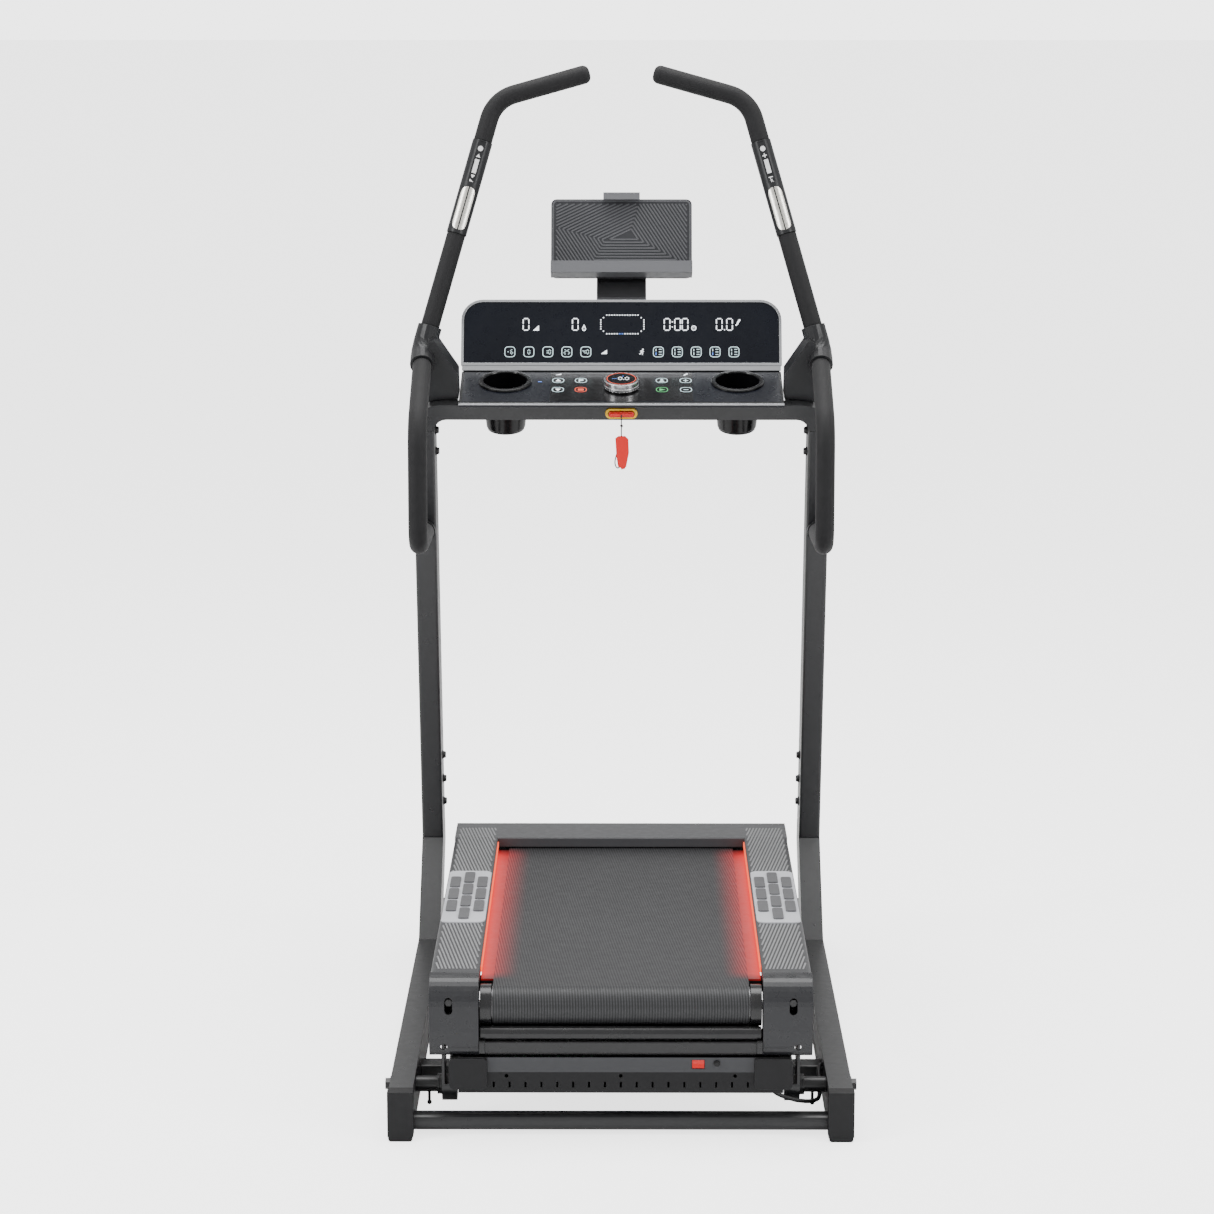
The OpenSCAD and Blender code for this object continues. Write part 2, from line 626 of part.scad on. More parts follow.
module deck_cushions() {
    color("black") frame() for (x = [-195, 195], y = member_ys) translate([x, y, 214.5]) rotate_extrude()
        polygon([[0, 0], [16, 0], [17, 4], [15, 8], [17, 12], [16, 15.7], [0, 15.7]]);
}
module belt_loop(r) {
    union() {
        translate([roller_y, roller_z]) circle(r = r);
        translate([roller_y + roller_span, roller_z]) circle(r = r);
        translate([roller_y, roller_z - r]) square([roller_span, 2 * r]);
    }
}
module running_belt() {
    color("dimgray") frame() across(-belt_w / 2, belt_w / 2) difference() {
        belt_loop(belt_r);
        belt_loop(belt_r - belt_t);
    }
}
module side_cover(side) {
    z = deck_top;
    color("dimgray") frame() on_side(side) difference() {
        translate([0, cover_y1, 0]) rotate([90, 0, 0]) linear_extrude(cover_y1 - cover_y0) polygon(concat(
            [[cover_in, 254], [cover_in, z - 2], [cover_in + 2, z]], arc(cover_out - 8, z - 8, 8, 90, 0, 4),
            [[cover_out, 178], [cover_out - cover_t, 178], [cover_out - cover_t, z - 9],
             [cover_out - 9, z - cover_t], [cover_in + cover_t, z - cover_t], [cover_in + cover_t, 254]]));
        translate([cover_in - 10, front_y - 0.4, 240]) cube([100, 100, 40]);
    }
}
module side_cover_left() { side_cover(-1); }
module side_cover_right() { side_cover(1); }
module footpad_plates() {
    color("silver") frame() pair() translate([pad_x, 0, deck_top + 0.1]) linear_extrude(2.2) polygon(concat(
        arc(24, pad_y1 - 14, 14, 90, 0, 3), arc(24, pad_y0 + 14, 14, 0, -90, 3),
        arc(-24, pad_y0 + 14, 14, -90, -180, 3), arc(-24, pad_y1 - 14, 14, 180, 90, 3)));
}
module footpad_grips() {
    rows = [[-24, 3, 56], [0, 4, 28], [24, 3, 56]];
    color("black") frame() pair() for (r = rows, k = [0:1:r[1] - 1])
        translate([pad_x + r[0], pad_y0 + 15 + r[2] + 76 * k + (r[1] == 3 ? 24 : 6), deck_top + 2.4])
            linear_extrude(2.6) polygon(rounded(18, 64, 4, 2));
}
module front_cover() {
    z = deck_top;
    rim = [[1048, 206], [1032, 250], [1008, z - 6], [988, z - cover_t]];
    color("dimgray") frame() {
        across(-cover_out, cover_out) polygon(concat(
            [[985, 170], [985, z - cover_t], [front_y + 3, z - cover_t], [front_y + 3, 254], [front_y, 254],
             [front_y, z - 2], [front_y + 2, z]],
            arc(1008, z - 30, 30, 90, 20, 5), [[1052, 205], [1048, 170], [1044, 170]], rim, [[988, 170]]));
        pair() across(cover_out - cover_t, cover_out) polygon(concat(
            [[front_y, 240.5], [988, 240.5], [988, 170], [1044, 170]], rim, [[front_y, z - cover_t]]));
    }
}
module rear_covers() {
    z = deck_top;
    side = concat([[56, 140]], [[56, z]], arc(52, z - 44, 44, 90, 180, 8), [[8, 185], [12, 160]],
        arc(30, 156, 16, 180, 270, 4));
    inner = concat([[60, 136], [60, z - 3]], arc(52, z - 44, 41, 90, 180, 8), [[11, 185], [15, 162]],
        arc(30, 158, 13, 200, 270, 4));
    color("dimgray") frame() pair() difference() {
        across(cover_in, cover_out) polygon(side);
        across(cover_in + 3, cover_out - 3) polygon(inner);
        for (dz = [0, slot_rise]) translate([281, 20, 236 - dz]) rotate([90, 0, 0]) cylinder(r = 6.5, h = 20);
        translate([274.5, 0, 236 - slot_rise]) cube([13, 20, slot_rise]);
        translate([289, 30, 158]) rotate([90, 0, 0]) cylinder(r = 5.5, h = 30);
        translate([cover_in - 1, roller_y - 11, roller_z - 11]) cube([5, 30, 22]);
    }
}
module light_strips() {
    color("red") frame() pair() translate([cover_in - 2.2, 106, 257]) cube([2, 790, 9]);
}
module rear_guard() {
    color("black") frame() {
        rod_x(-229, 229, 21, 180, 11);
        across(-222, 222) difference() {
            translate([22, 157.5]) polygon(rounded(18, 19, 2, 2));
            translate([22, 157.5]) polygon(rounded(13, 14, 1, 2));
        }
        translate([-222, 26, 139.8]) cube([444, 5, 8.2]);
        pair() across(222.2, 231) translate([20, 158.5]) polygon(rounded(24, 22, 3, 2));
        pair() difference() {
            rod_x(212, 230, roller_y, roller_z, 34);
            rod_x(211, 231, roller_y, roller_z, 12);
        }
    }
}
module motor_housing() {
    color("black") frame() difference() {
        union() {
            difference() {
                translate([-266, 16, 79]) cube([532, 254, 60.4]);
                translate([-263.4, 18.6, 81.6]) cube([526.8, 248.8, 70]);
            }
            pair() translate([250, 34, 113]) rotate([90, 0, 0]) translate([0, 0, -22]) linear_extrude(46)
                polygon(rounded(62, 52, 7));
        }
        for (k = [-8:8]) translate([26 * k - 1.8, 10, 88]) cube([3.6, 12, 10]);
        for (x = [-187, 0, 187]) translate([x, 24, 108]) rotate([90, 0, 0]) cylinder(r = 3.2, h = 12);
        translate([116, 10, 120.5]) cube([21, 12, 15]);
        translate([157, 24, 130]) rotate([90, 0, 0]) cylinder(r = 5.2, h = 12);
        translate([-283, 199, 94]) cube([30, 34, 28]);
        translate([236, 100, 100]) cube([28, 175, 60]);
        pair() translate([200, 19, 84]) cube([60, 30, 60]);
    }
}
module power_switch() {
    color("red") frame() translate([126.5, 20, 128]) rotate([-8, 0, 0]) translate([-9.8, 0, 0])
        rotate([90, 0, 90]) linear_extrude(19.6)
            polygon([[-5, -6.6], [-3.6, 0], [-5, 6.6], [2, 6.6], [5, 3], [5, -3], [2, -6.6]]);
    color("red") frame() rod_x(116.3, 136.7, 20, 128, 1.8);
}
module breaker_button() {
    color("black") frame() translate([157, 28, 130]) rotate([90, 0, 0]) {
        cylinder(r = 4.9, h = 15);
        translate([0, 0, 15]) cylinder(r = 3.4, h = 2);
    }
}
module drive_motor() {
    color("gray") frame() difference() {
        union() {
            rod_x(20, 222, motor_y, motor_z, motor_r);
            rod_x(10, 20, motor_y, motor_z, 30);
            translate([60, motor_y - 36, 82]) cube([110, 72, 12]);
        }
        rod_x(5, 240, motor_y, motor_z, shaft_r + run_fit);
        for (a = [0:30:359]) rotate_about(a) rod_x(200, 224, motor_y + 27, motor_z, 4);
    }
}
module rotate_about(a) {
    translate([0, motor_y, motor_z]) rotate([a, 0, 0]) translate([0, -motor_y, -motor_z]) children();
}
module motor_pulley() {
    color("silver") frame() {
        rod_x(4, 262, motor_y, motor_z, shaft_r);
        rod_x(belt_x - 2, belt_x + 19, motor_y, motor_z, pulley_r);
        difference() {
            rod_x(-8, 4, motor_y, motor_z, 36);
            for (a = [0:60:359]) rotate_about(a) rod_x(-9, 5, motor_y + 22, motor_z, 6);
        }
    }
}
module roller(y) {
    rod_x(-268, 268, y, roller_z, shaft_r);
    rod_x(-211, 211, y, roller_z, roller_r);
}
module rear_roller() {
    color("silver") frame() {
        roller(roller_y);
        rod_x(belt_x - 2, belt_x + 19, roller_y, roller_z, big_pulley_r);
    }
}
module front_roller() { color("silver") frame() roller(roller_y + roller_span); }
module drive_belt() {
    v = [motor_y - roller_y, motor_z - roller_z];
    a = atan2(v[1], v[0]);
    lean = asin((big_pulley_r - pulley_r) / norm(v));
    color("black") frame() translate([belt_x, roller_y, roller_z]) rotate([a, 0, 0]) rotate([90, 0, 90])
        linear_extrude(17) difference() {
            belt_path(norm(v), big_pulley_r + 3.3, pulley_r + 3.3, lean);
            belt_path(norm(v), big_pulley_r + 0.3, pulley_r + 0.3, lean);
        }
}
module belt_path(d, r0, r1, lean) {
    polygon(concat(arc(0, 0, r0, 90 - lean, 270 + lean, 20), arc(d, 0, r1, lean - 90, 90 - lean, 14)));
}
module motor_controller() {
    color("seagreen") frame() {
        translate([-215, 110, 84]) cube([190, 130, 3]);
        for (x = [-205:14:-50]) translate([x, 116, 87.2]) cube([5, 52, 30]);
        for (x = [-190, -150, -110]) translate([x, 205, 87.2]) cylinder(r = 12, h = 34);
    }
}
module power_inlet() {
    color("black") frame() translate([-282.5, 200, 95]) difference() {
        cube([22, 32, 26]);
        translate([-1, 3, 3.5]) cube([18, 26, 19]);
    }
    color("silver") frame() for (y = [208, 216, 224]) translate([-279, y - 1, 106]) cube([14, 2, 5]);
}
module console_cable() { color("black") frame() swept(cable_pts, cable_r, 10); }

base_rails();
end_caps();
base_cross_tubes();
pivot_bolts();
upright_left();
upright_right();
frame_bolts();
console_beam();
console_tray();
console_back();
touch_panels();
display_bezel();
cup_holders();
dial_base();
dial_ring();
key_socket();
safety_key();
key_lanyard();
key_clip();
handlebar_left();
handlebar_right();
grip_sleeves();
handlebar_clamps();
control_pods();
start_key_left();
start_key_right();
incline_toggle();
speed_toggle();
pulse_plates();
tablet_neck();
tablet_plate();
tablet_clamp();
transport_wheel_left();
transport_wheel_right();
lift_motor();
lift_rod();
console_cable();
deck_side_members();
deck_cross_members();
deck_board();
deck_cushions();
running_belt();
side_cover_left();
side_cover_right();
footpad_plates();
footpad_grips();
front_cover();
rear_covers();
light_strips();
rear_guard();
motor_housing();
power_switch();
breaker_button();
drive_motor();
motor_pulley();
rear_roller();
front_roller();
drive_belt();
motor_controller();
power_inlet();
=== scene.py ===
import json
import math

import bmesh
import bpy
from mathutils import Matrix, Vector


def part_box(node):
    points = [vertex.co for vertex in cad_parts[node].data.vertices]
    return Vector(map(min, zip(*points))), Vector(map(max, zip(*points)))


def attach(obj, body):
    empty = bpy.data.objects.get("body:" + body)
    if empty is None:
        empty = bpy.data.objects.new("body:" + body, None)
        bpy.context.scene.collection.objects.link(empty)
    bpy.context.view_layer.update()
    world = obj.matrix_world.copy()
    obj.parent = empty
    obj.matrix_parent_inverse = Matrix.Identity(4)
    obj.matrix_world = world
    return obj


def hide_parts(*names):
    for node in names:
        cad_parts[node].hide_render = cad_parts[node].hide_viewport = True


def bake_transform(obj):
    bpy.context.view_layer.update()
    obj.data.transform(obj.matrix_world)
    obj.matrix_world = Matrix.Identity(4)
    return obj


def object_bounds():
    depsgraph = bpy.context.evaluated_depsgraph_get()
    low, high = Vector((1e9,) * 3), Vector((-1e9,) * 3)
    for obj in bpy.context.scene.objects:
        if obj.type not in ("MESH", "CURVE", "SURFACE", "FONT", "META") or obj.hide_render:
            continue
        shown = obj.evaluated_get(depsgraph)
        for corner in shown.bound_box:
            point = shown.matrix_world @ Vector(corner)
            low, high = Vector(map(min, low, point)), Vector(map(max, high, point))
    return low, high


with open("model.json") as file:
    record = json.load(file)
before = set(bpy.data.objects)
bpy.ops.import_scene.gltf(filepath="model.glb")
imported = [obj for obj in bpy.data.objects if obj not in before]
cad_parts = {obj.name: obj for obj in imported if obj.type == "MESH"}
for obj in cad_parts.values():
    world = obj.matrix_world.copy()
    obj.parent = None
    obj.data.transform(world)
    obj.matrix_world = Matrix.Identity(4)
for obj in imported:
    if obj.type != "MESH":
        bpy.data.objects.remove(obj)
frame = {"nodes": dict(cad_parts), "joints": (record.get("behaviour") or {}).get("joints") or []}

# Looks of an incline treadmill. Lengths are metres; artwork and detail sizes are millimetres times MM.
MM = 0.001
NODES = frame["nodes"]
JOINTS = {joint["name"]: joint for joint in frame["joints"]}
CAD_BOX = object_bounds()
REAR = CAD_BOX[0].y
RIGHT = Vector((1, 0, 0))


def from_rear(x, y, z):
    """A place given in millimetres, with y measured forward from the rear end of the base."""
    return Vector((x * MM, REAR + y * MM, z * MM))


# ---- camera and studio ----
CAMERA_BACK = 5.292
CAMERA_HEIGHT = 1.936
CAMERA_PITCH = 11.15
CAMERA_YAW = 0.244
LENS_OVER_SENSOR = 2.8007
SENSOR_MM = 36.0
BACKDROP_LIGHT = 0.8
BACKDROP_SEEN = 3.6
FLOOR_GLOW = 2.35
FLOOR_REACH = 60.0
FLOOR_WHITE = (0.92, 0.92, 0.92)
WHITE = (1.0, 1.0, 1.0)
# Each softbox: name, place, the point it faces, width and height, power in watts.
SOFTBOXES = (("top_softbox", (0, 0.4, 4.2), (0, 0, 0.6), (3.4, 2.6), 150),
             ("left_softbox", (-3.6, -2.2, 2.6), (0, 0, 0.9), (1.2, 2.8), 120),
             ("right_softbox", (3.6, -2.2, 2.6), (0, 0, 0.9), (1.2, 2.8), 95))


def add_to_scene(name, data):
    thing = bpy.data.objects.new(name, data)
    bpy.context.scene.collection.objects.link(thing)
    return thing


def make_camera():
    data = bpy.data.cameras.new("studio_camera")
    data.sensor_width = SENSOR_MM
    data.lens = SENSOR_MM * LENS_OVER_SENSOR
    camera = add_to_scene("studio_camera", data)
    camera.location = (0, REAR - CAMERA_BACK, CAMERA_HEIGHT)
    camera.rotation_euler = (math.radians(90 - CAMERA_PITCH), 0, math.radians(CAMERA_YAW))
    bpy.context.scene.camera = camera


def make_light(name, place, aim, size, power):
    data = bpy.data.lights.new(name, "AREA")
    data.shape = "RECTANGLE"
    data.size, data.size_y = size
    data.energy = power
    light = add_to_scene(name, data)
    light.location = place
    light.rotation_euler = (Vector(aim) - Vector(place)).to_track_quat("-Z", "Y").to_euler()


def camera_ray(tree):
    return tree.nodes.new("ShaderNodeLightPath").outputs["Is Camera Ray"]


def make_studio():
    """A white room whose backdrop and floor look brighter to the camera than they light the object."""
    world = bpy.data.worlds.new("soft_white")
    world.use_nodes = True
    tree = world.node_tree
    seen = times(tree, camera_ray(tree), BACKDROP_SEEN - BACKDROP_LIGHT)
    feed_all(tree, tree.nodes["Background"], Color=WHITE, Strength=plus(tree, BACKDROP_LIGHT, seen))
    bpy.context.scene.world = world
    for softbox in SOFTBOXES:
        make_light(*softbox)
    paper, tree, shader = blank("white_paper_floor", specular=0.1)
    feed_all(tree, shader, Base_Color=FLOOR_WHITE, Roughness=0.9, Emission_Color=WHITE,
             Emission_Strength=times(tree, camera_ray(tree), FLOOR_GLOW))
    mesh = bpy.data.meshes.new("studio_floor")
    corners = [(x * FLOOR_REACH, y * FLOOR_REACH, 0) for x, y in ((-1, -1), (1, -1), (1, 1), (-1, 1))]
    mesh.from_pydata(corners, [], [(0, 1, 2, 3)])
    mesh.materials.append(paper)
    add_to_scene("studio_floor", mesh)


# ---- shader node groups ----
EDGE_GAIN = 6.0
WEAR_SPOTS_CUT = 0.35
WEAR_SPOTS_GAIN = 2.2
WEAR_SPOTS_SCALE = 60.0
TONE_SCALE = 7.0
RUB_SCALE = 70.0
DUST_COLOUR = (0.55, 0.53, 0.5)


def new_group(name, inputs, outputs):
    """A shader node group of float, colour or vector sockets, what it is given, and its output node."""
    group = bpy.data.node_groups.new(name, "ShaderNodeTree")
    kinds = {"f": "NodeSocketFloat", "c": "NodeSocketColor", "v": "NodeSocketVector"}
    for label, kind, default in inputs:
        socket = group.interface.new_socket(name=label, in_out="INPUT", socket_type=kinds[kind])
        if default is not None:
            socket.default_value = default
    for label, kind in outputs:
        group.interface.new_socket(name=label, in_out="OUTPUT", socket_type=kinds[kind])
    return group, group.nodes.new("NodeGroupInput").outputs, group.nodes.new("NodeGroupOutput")


def feed(tree, socket, value):
    """Links a socket to another one, or sets its value; a plain colour gets its alpha."""
    if isinstance(value, bpy.types.NodeSocket):
        tree.links.new(value, socket)
    elif isinstance(value, tuple) and len(value) < len(socket.default_value):
        socket.default_value = (*value, 1.0)
    else:
        socket.default_value = value


def feed_all(tree, node, **inputs):
    """Feeds a node's inputs by their names, written with underscores for spaces."""
    for label, value in inputs.items():
        feed(tree, node.inputs[label.replace("_", " ")], value)
    return node


def maths(tree, operation, a, b=None, clamp=False):
    node = tree.nodes.new("ShaderNodeMath")
    node.operation = operation
    node.use_clamp = clamp
    feed(tree, node.inputs[0], a)
    if b is not None:
        feed(tree, node.inputs[1], b)
    return node.outputs[0]


def times(tree, a, b, clamp=False):
    return maths(tree, "MULTIPLY", a, b, clamp)


def plus(tree, a, b, clamp=False):
    return maths(tree, "ADD", a, b, clamp)


def minus(tree, a, b, clamp=False):
    return maths(tree, "SUBTRACT", a, b, clamp)


def vector_maths(tree, operation, a, b):
    node = tree.nodes.new("ShaderNodeVectorMath")
    node.operation = operation
    feed(tree, node.inputs[0], a)
    feed(tree, node.inputs["Scale" if operation == "SCALE" else 1], b)
    return node.outputs["Value" if operation == "DOT_PRODUCT" else "Vector"]


def swing(tree, value, share):
    """Share of a noise's distance from its middle value of a half, doubled."""
    return times(tree, times(tree, minus(tree, value, 0.5), share), 2.0)


def blend_colours(tree, factor, a, b):
    node = tree.nodes.new("ShaderNodeMix")
    node.data_type = "RGBA"
    for k, value in ((0, factor), (6, a), (7, b)):
        feed(tree, node.inputs[k], value)
    return node.outputs[2]


def noise(tree, place, scale, detail=3.0, rough=0.55):
    node = tree.nodes.new("ShaderNodeTexNoise")
    feed_all(tree, node, Detail=detail, Roughness=rough, Vector=place, Scale=scale)
    return node.outputs["Fac"]


def rest_position(tree):
    return tree.nodes.new("ShaderNodeTexCoord").outputs["Object"]


def true_normal(tree):
    return tree.nodes.new("ShaderNodeNewGeometry").outputs["Normal"]


def split_vector(tree, vector):
    parts = tree.nodes.new("ShaderNodeSeparateXYZ")
    tree.links.new(vector, parts.inputs[0])
    return parts.outputs


def make_edge_wear():
    """Rounds sharp edges in the shading and lightens them where hands and tools rub."""
    group, given, out = new_group(
        "edge wear",
        [("Base Color", "c", None), ("Worn Color", "c", None), ("Wear", "f", 0.5), ("Radius", "f", 0.001)],
        [("Color", "c"), ("Mask", "f"), ("Normal", "v")])
    bevel = feed_all(group, group.nodes.new("ShaderNodeBevel"), Radius=given["Radius"])
    bevel.samples = 3
    rounded = bevel.outputs["Normal"]
    alike = vector_maths(group, "DOT_PRODUCT", rounded, true_normal(group))
    turned = times(group, minus(group, 1.0, alike), EDGE_GAIN, True)
    patchy = noise(group, rest_position(group), WEAR_SPOTS_SCALE)
    above = minus(group, patchy, WEAR_SPOTS_CUT)
    spots = times(group, above, WEAR_SPOTS_GAIN, True)
    mask = times(group, times(group, turned, spots), given["Wear"], True)
    colour = blend_colours(group, mask, given["Base Color"], given["Worn Color"])
    feed_all(group, out, Color=colour, Mask=mask, Normal=rounded)
    return group


def make_grain():
    """Fine pebble of powder coat and moulded plastic, with slow tone changes and a little dust on top."""
    group, given, out = new_group(
        "surface grain",
        [("Color", "c", None), ("Grain Scale", "f", 900.0), ("Tone Change", "f", 0.12), ("Dust", "f", 0.03),
         ("Roughness", "f", 0.45), ("Roughness Change", "f", 0.12)],
        [("Color", "c"), ("Roughness", "f"), ("Height", "f")])
    place = rest_position(group)
    fine = noise(group, place, given["Grain Scale"], 2.0)
    slow = noise(group, place, TONE_SCALE, 4.0)
    middle = noise(group, place, RUB_SCALE)
    tone = plus(group, 1.0, swing(group, slow, given["Tone Change"]))
    toned = vector_maths(group, "SCALE", given["Color"], tone)
    facing_up = split_vector(group, true_normal(group))["Z"]
    lying = times(group, times(group, facing_up, middle, True), given["Dust"], True)
    rough = plus(group, given["Roughness"], swing(group, middle, given["Roughness Change"]), True)
    feed_all(group, out, Color=blend_colours(group, lying, toned, DUST_COLOUR), Roughness=rough, Height=fine)
    return group


def make_brushing():
    """Fine parallel scratches along one direction, for rolled, ground and turned metal."""
    group, given, out = new_group(
        "metal brushing",
        [("Color", "c", None), ("Stretch", "v", None), ("Roughness", "f", 0.3)],
        [("Color", "c"), ("Roughness", "f"), ("Height", "f")])
    stretched = vector_maths(group, "MULTIPLY", rest_position(group), given["Stretch"])
    lines = noise(group, stretched, 1.0, 4.0, 0.6)
    shade = plus(group, 0.82, times(group, lines, 0.36))
    rough = times(group, given["Roughness"], plus(group, 0.6, lines))
    feed_all(group, out, Color=vector_maths(group, "SCALE", given["Color"], shade), Roughness=rough,
             Height=lines)
    return group


def make_ribs():
    """Parallel ribs across the direction Along, one every Pitch metres."""
    group, given, out = new_group(
        "fine ribs", [("Along", "v", None), ("Pitch", "f", 0.004)], [("Height", "f")])
    along = vector_maths(group, "DOT_PRODUCT", rest_position(group), given["Along"])
    turns = maths(group, "DIVIDE", along, given["Pitch"])
    wave = maths(group, "SINE", times(group, turns, 2 * math.pi))
    feed_all(group, out, Height=times(group, plus(group, wave, 1.0), 0.5))
    return group


EDGE_WEAR = make_edge_wear()
GRAIN = make_grain()
BRUSHING = make_brushing()
RIBS = make_ribs()


# ---- flat faces of the frame ----
class Face:
    """A flat place for artwork: origin is the middle of its lower edge and out is its normal."""

    def __init__(self, origin, across, upward, out, width=0.0, height=0.0):
        self.origin, self.across, self.upward, self.out = origin, across, upward, out
        self.width, self.height = width, height

    def at(self, u, v, lift=0.0):
        """The point u millimetres across, v millimetres up and lift millimetres out."""
        return self.origin + (self.across * u + self.upward * v + self.out * lift) * MM


def face_of(node, facing, highest=False):
    """The largest flat face of a CAD node that looks along facing, or the highest such face."""
    facing = Vector(facing).normalized()
    data = NODES[node].data
    flat = [p for p in data.polygons if p.normal.dot(facing) > 0.99]
    out = sum((p.normal * p.area for p in flat), Vector()).normalized()
    upward = out.cross(RIGHT).normalized()
    levels = {}
    for p in flat:
        levels.setdefault(round(p.center.dot(out) / MM, 1), []).append(p)
    pick = max(levels) if highest else max(levels, key=lambda k: sum(p.area for p in levels[k]))
    chosen = levels[pick]
    level = sum(p.center.dot(out) * p.area for p in chosen) / sum(p.area for p in chosen)
    corners = [data.vertices[i].co for p in chosen for i in p.vertices]
    width = max(p.x for p in corners) - min(p.x for p in corners)
    low = min(p.dot(upward) for p in corners)
    height = max(p.dot(upward) for p in corners) - low
    return Face(upward * low + out * level, RIGHT, upward, out, width, height)


DISPLAY = face_of("touch_panels", (0, -0.905, 0.426))
TRAY = face_of("touch_panels", JOINTS["dial_turn"]["axis"])
TABLET = face_of("tablet_plate", (0, -0.943, 0.332))


# ---- materials; each is painted on the frame's nodes by FINISHES or on pieces by its key ----
# Painted light: the red light of the strips is laid on the belt and the board as emission, fading inward.
GLOW_REACH = 0.066
GLOW_POWER = 1.25
GLOW_COLOUR = (1.0, 0.01, 0.012)
RIB_GRAIN_SCALE = 1400.0
# Painted shade: the share of a ribbed colour left in the grooves between ribs.
RIB_GROOVE_SHADE = 0.55


def use_group(tree, group, **values):
    node = tree.nodes.new("ShaderNodeGroup")
    node.node_tree = group
    return feed_all(tree, node, **values)


def blank(name, metallic=0.0, specular=0.5, sheen=0.0):
    material = bpy.data.materials.new(name)
    material.use_nodes = True
    shader = material.node_tree.nodes["Principled BSDF"]
    feed_all(material.node_tree, shader, Metallic=metallic, Specular_IOR_Level=specular, Sheen_Weight=sheen)
    return material, material.node_tree, shader


def dress(tree, shader, colour, skin, height, depth, normal=None, strength=0.6):
    """Joins a colour, the roughness of a skin group and a bump of the given depth to the shader."""
    node = feed_all(tree, tree.nodes.new("ShaderNodeBump"), Strength=strength, Distance=depth, Height=height)
    if normal is not None:
        feed_all(tree, node, Normal=normal)
    feed_all(tree, shader, Base_Color=colour, Roughness=skin.outputs["Roughness"],
             Normal=node.outputs["Normal"])


def add_worn_skin(tree, shader, skin, worn, wear, edge, depth):
    """The skin's colour and height with soft worn edges over them."""
    edges = use_group(tree, EDGE_WEAR, Base_Color=skin.outputs["Color"], Worn_Color=worn, Wear=wear,
                      Radius=edge * MM)
    dress(tree, shader, edges.outputs["Color"], skin, skin.outputs["Height"], depth * MM,
          edges.outputs["Normal"])


def grained(name, colour, rough, worn=(0.35, 0.35, 0.36), wear=0.35, edge=0.9, scale=900.0, depth=0.12,
            dust=0.03, tone=0.12, **finish):
    """Powder coat, moulded plastic or rubber: grain, soft worn edges and a little dust."""
    material, tree, shader = blank(name, **finish)
    skin = use_group(tree, GRAIN, Color=colour, Grain_Scale=scale, Tone_Change=tone, Dust=dust,
                     Roughness=rough)
    add_worn_skin(tree, shader, skin, worn, wear, edge, depth)
    return material


def metal(name, colour, rough, stretch=(30.0, 900.0, 900.0), edge=0.4, depth=0.02):
    """Bare metal with brushing; stretch is small along the brushing."""
    material, tree, shader = blank(name, metallic=1.0)
    skin = use_group(tree, BRUSHING, Color=colour, Stretch=stretch, Roughness=rough)
    add_worn_skin(tree, shader, skin, (0.9, 0.9, 0.9), 0.3, edge, depth)
    return material


def ribbed(name, colour, rough, along, pitch, rib, **finish):
    """Grained surface with fine parallel ribs, and painted shade darkening the grooves between them."""
    material, tree, shader = blank(name, **finish)
    skin = use_group(tree, GRAIN, Color=colour, Grain_Scale=RIB_GRAIN_SCALE, Roughness=rough)
    ribs = use_group(tree, RIBS, Along=along, Pitch=pitch * MM).outputs["Height"]
    # painted shade: the grooves between the ribs are darkened in the colour
    groove_shade = tuple(channel * RIB_GROOVE_SHADE for channel in colour)
    groove_shaded = blend_colours(tree, ribs, groove_shade, skin.outputs["Color"])
    total = plus(tree, ribs, times(tree, skin.outputs["Height"], 0.15))
    dress(tree, shader, groove_shaded, skin, total, rib * MM, strength=0.8)
    return material


def glowing(name, colour, power, base=(0.02, 0.02, 0.02)):
    """A lit window: its brightness varies a little over the surface, as an LED behind a diffuser does."""
    material, tree, shader = blank(name)
    spots = noise(tree, rest_position(tree), 45.0)
    lit = plus(tree, 0.8, times(tree, spots, 0.4))
    feed_all(tree, shader, Base_Color=base, Emission_Color=vector_maths(tree, "SCALE", colour, lit),
             Emission_Strength=power)
    return material


def paint_strip_light(tree, shader, lowest, texture=None):
    """Painted red light of the two strips: emission on the surface, fading inward from the sides of the belt
    well.
    """
    x, y, z = split_vector(tree, rest_position(tree))
    low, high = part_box("light_strips")
    near = maths(tree, "DIVIDE", minus(tree, high.x, maths(tree, "ABSOLUTE", x)), GLOW_REACH)
    share = maths(tree, "POWER", minus(tree, 1.0, near, True), 1.8)
    ends = ((minus(tree, y, low.y - 0.02), 0.04), (minus(tree, high.y + 0.01, y), 0.05))
    for distance, fade in ends:
        share = times(tree, share, maths(tree, "DIVIDE", distance, fade, True))
    share = times(tree, share, maths(tree, "GREATER_THAN", z, lowest))
    if texture is not None:
        dimmed = plus(tree, 0.5, times(tree, texture, 0.5))
        share = times(tree, share, dimmed)
    feed_all(tree, shader, Emission_Color=blend_colours(tree, share, (0.0, 0.0, 0.0), GLOW_COLOUR),
             Emission_Strength=GLOW_POWER)


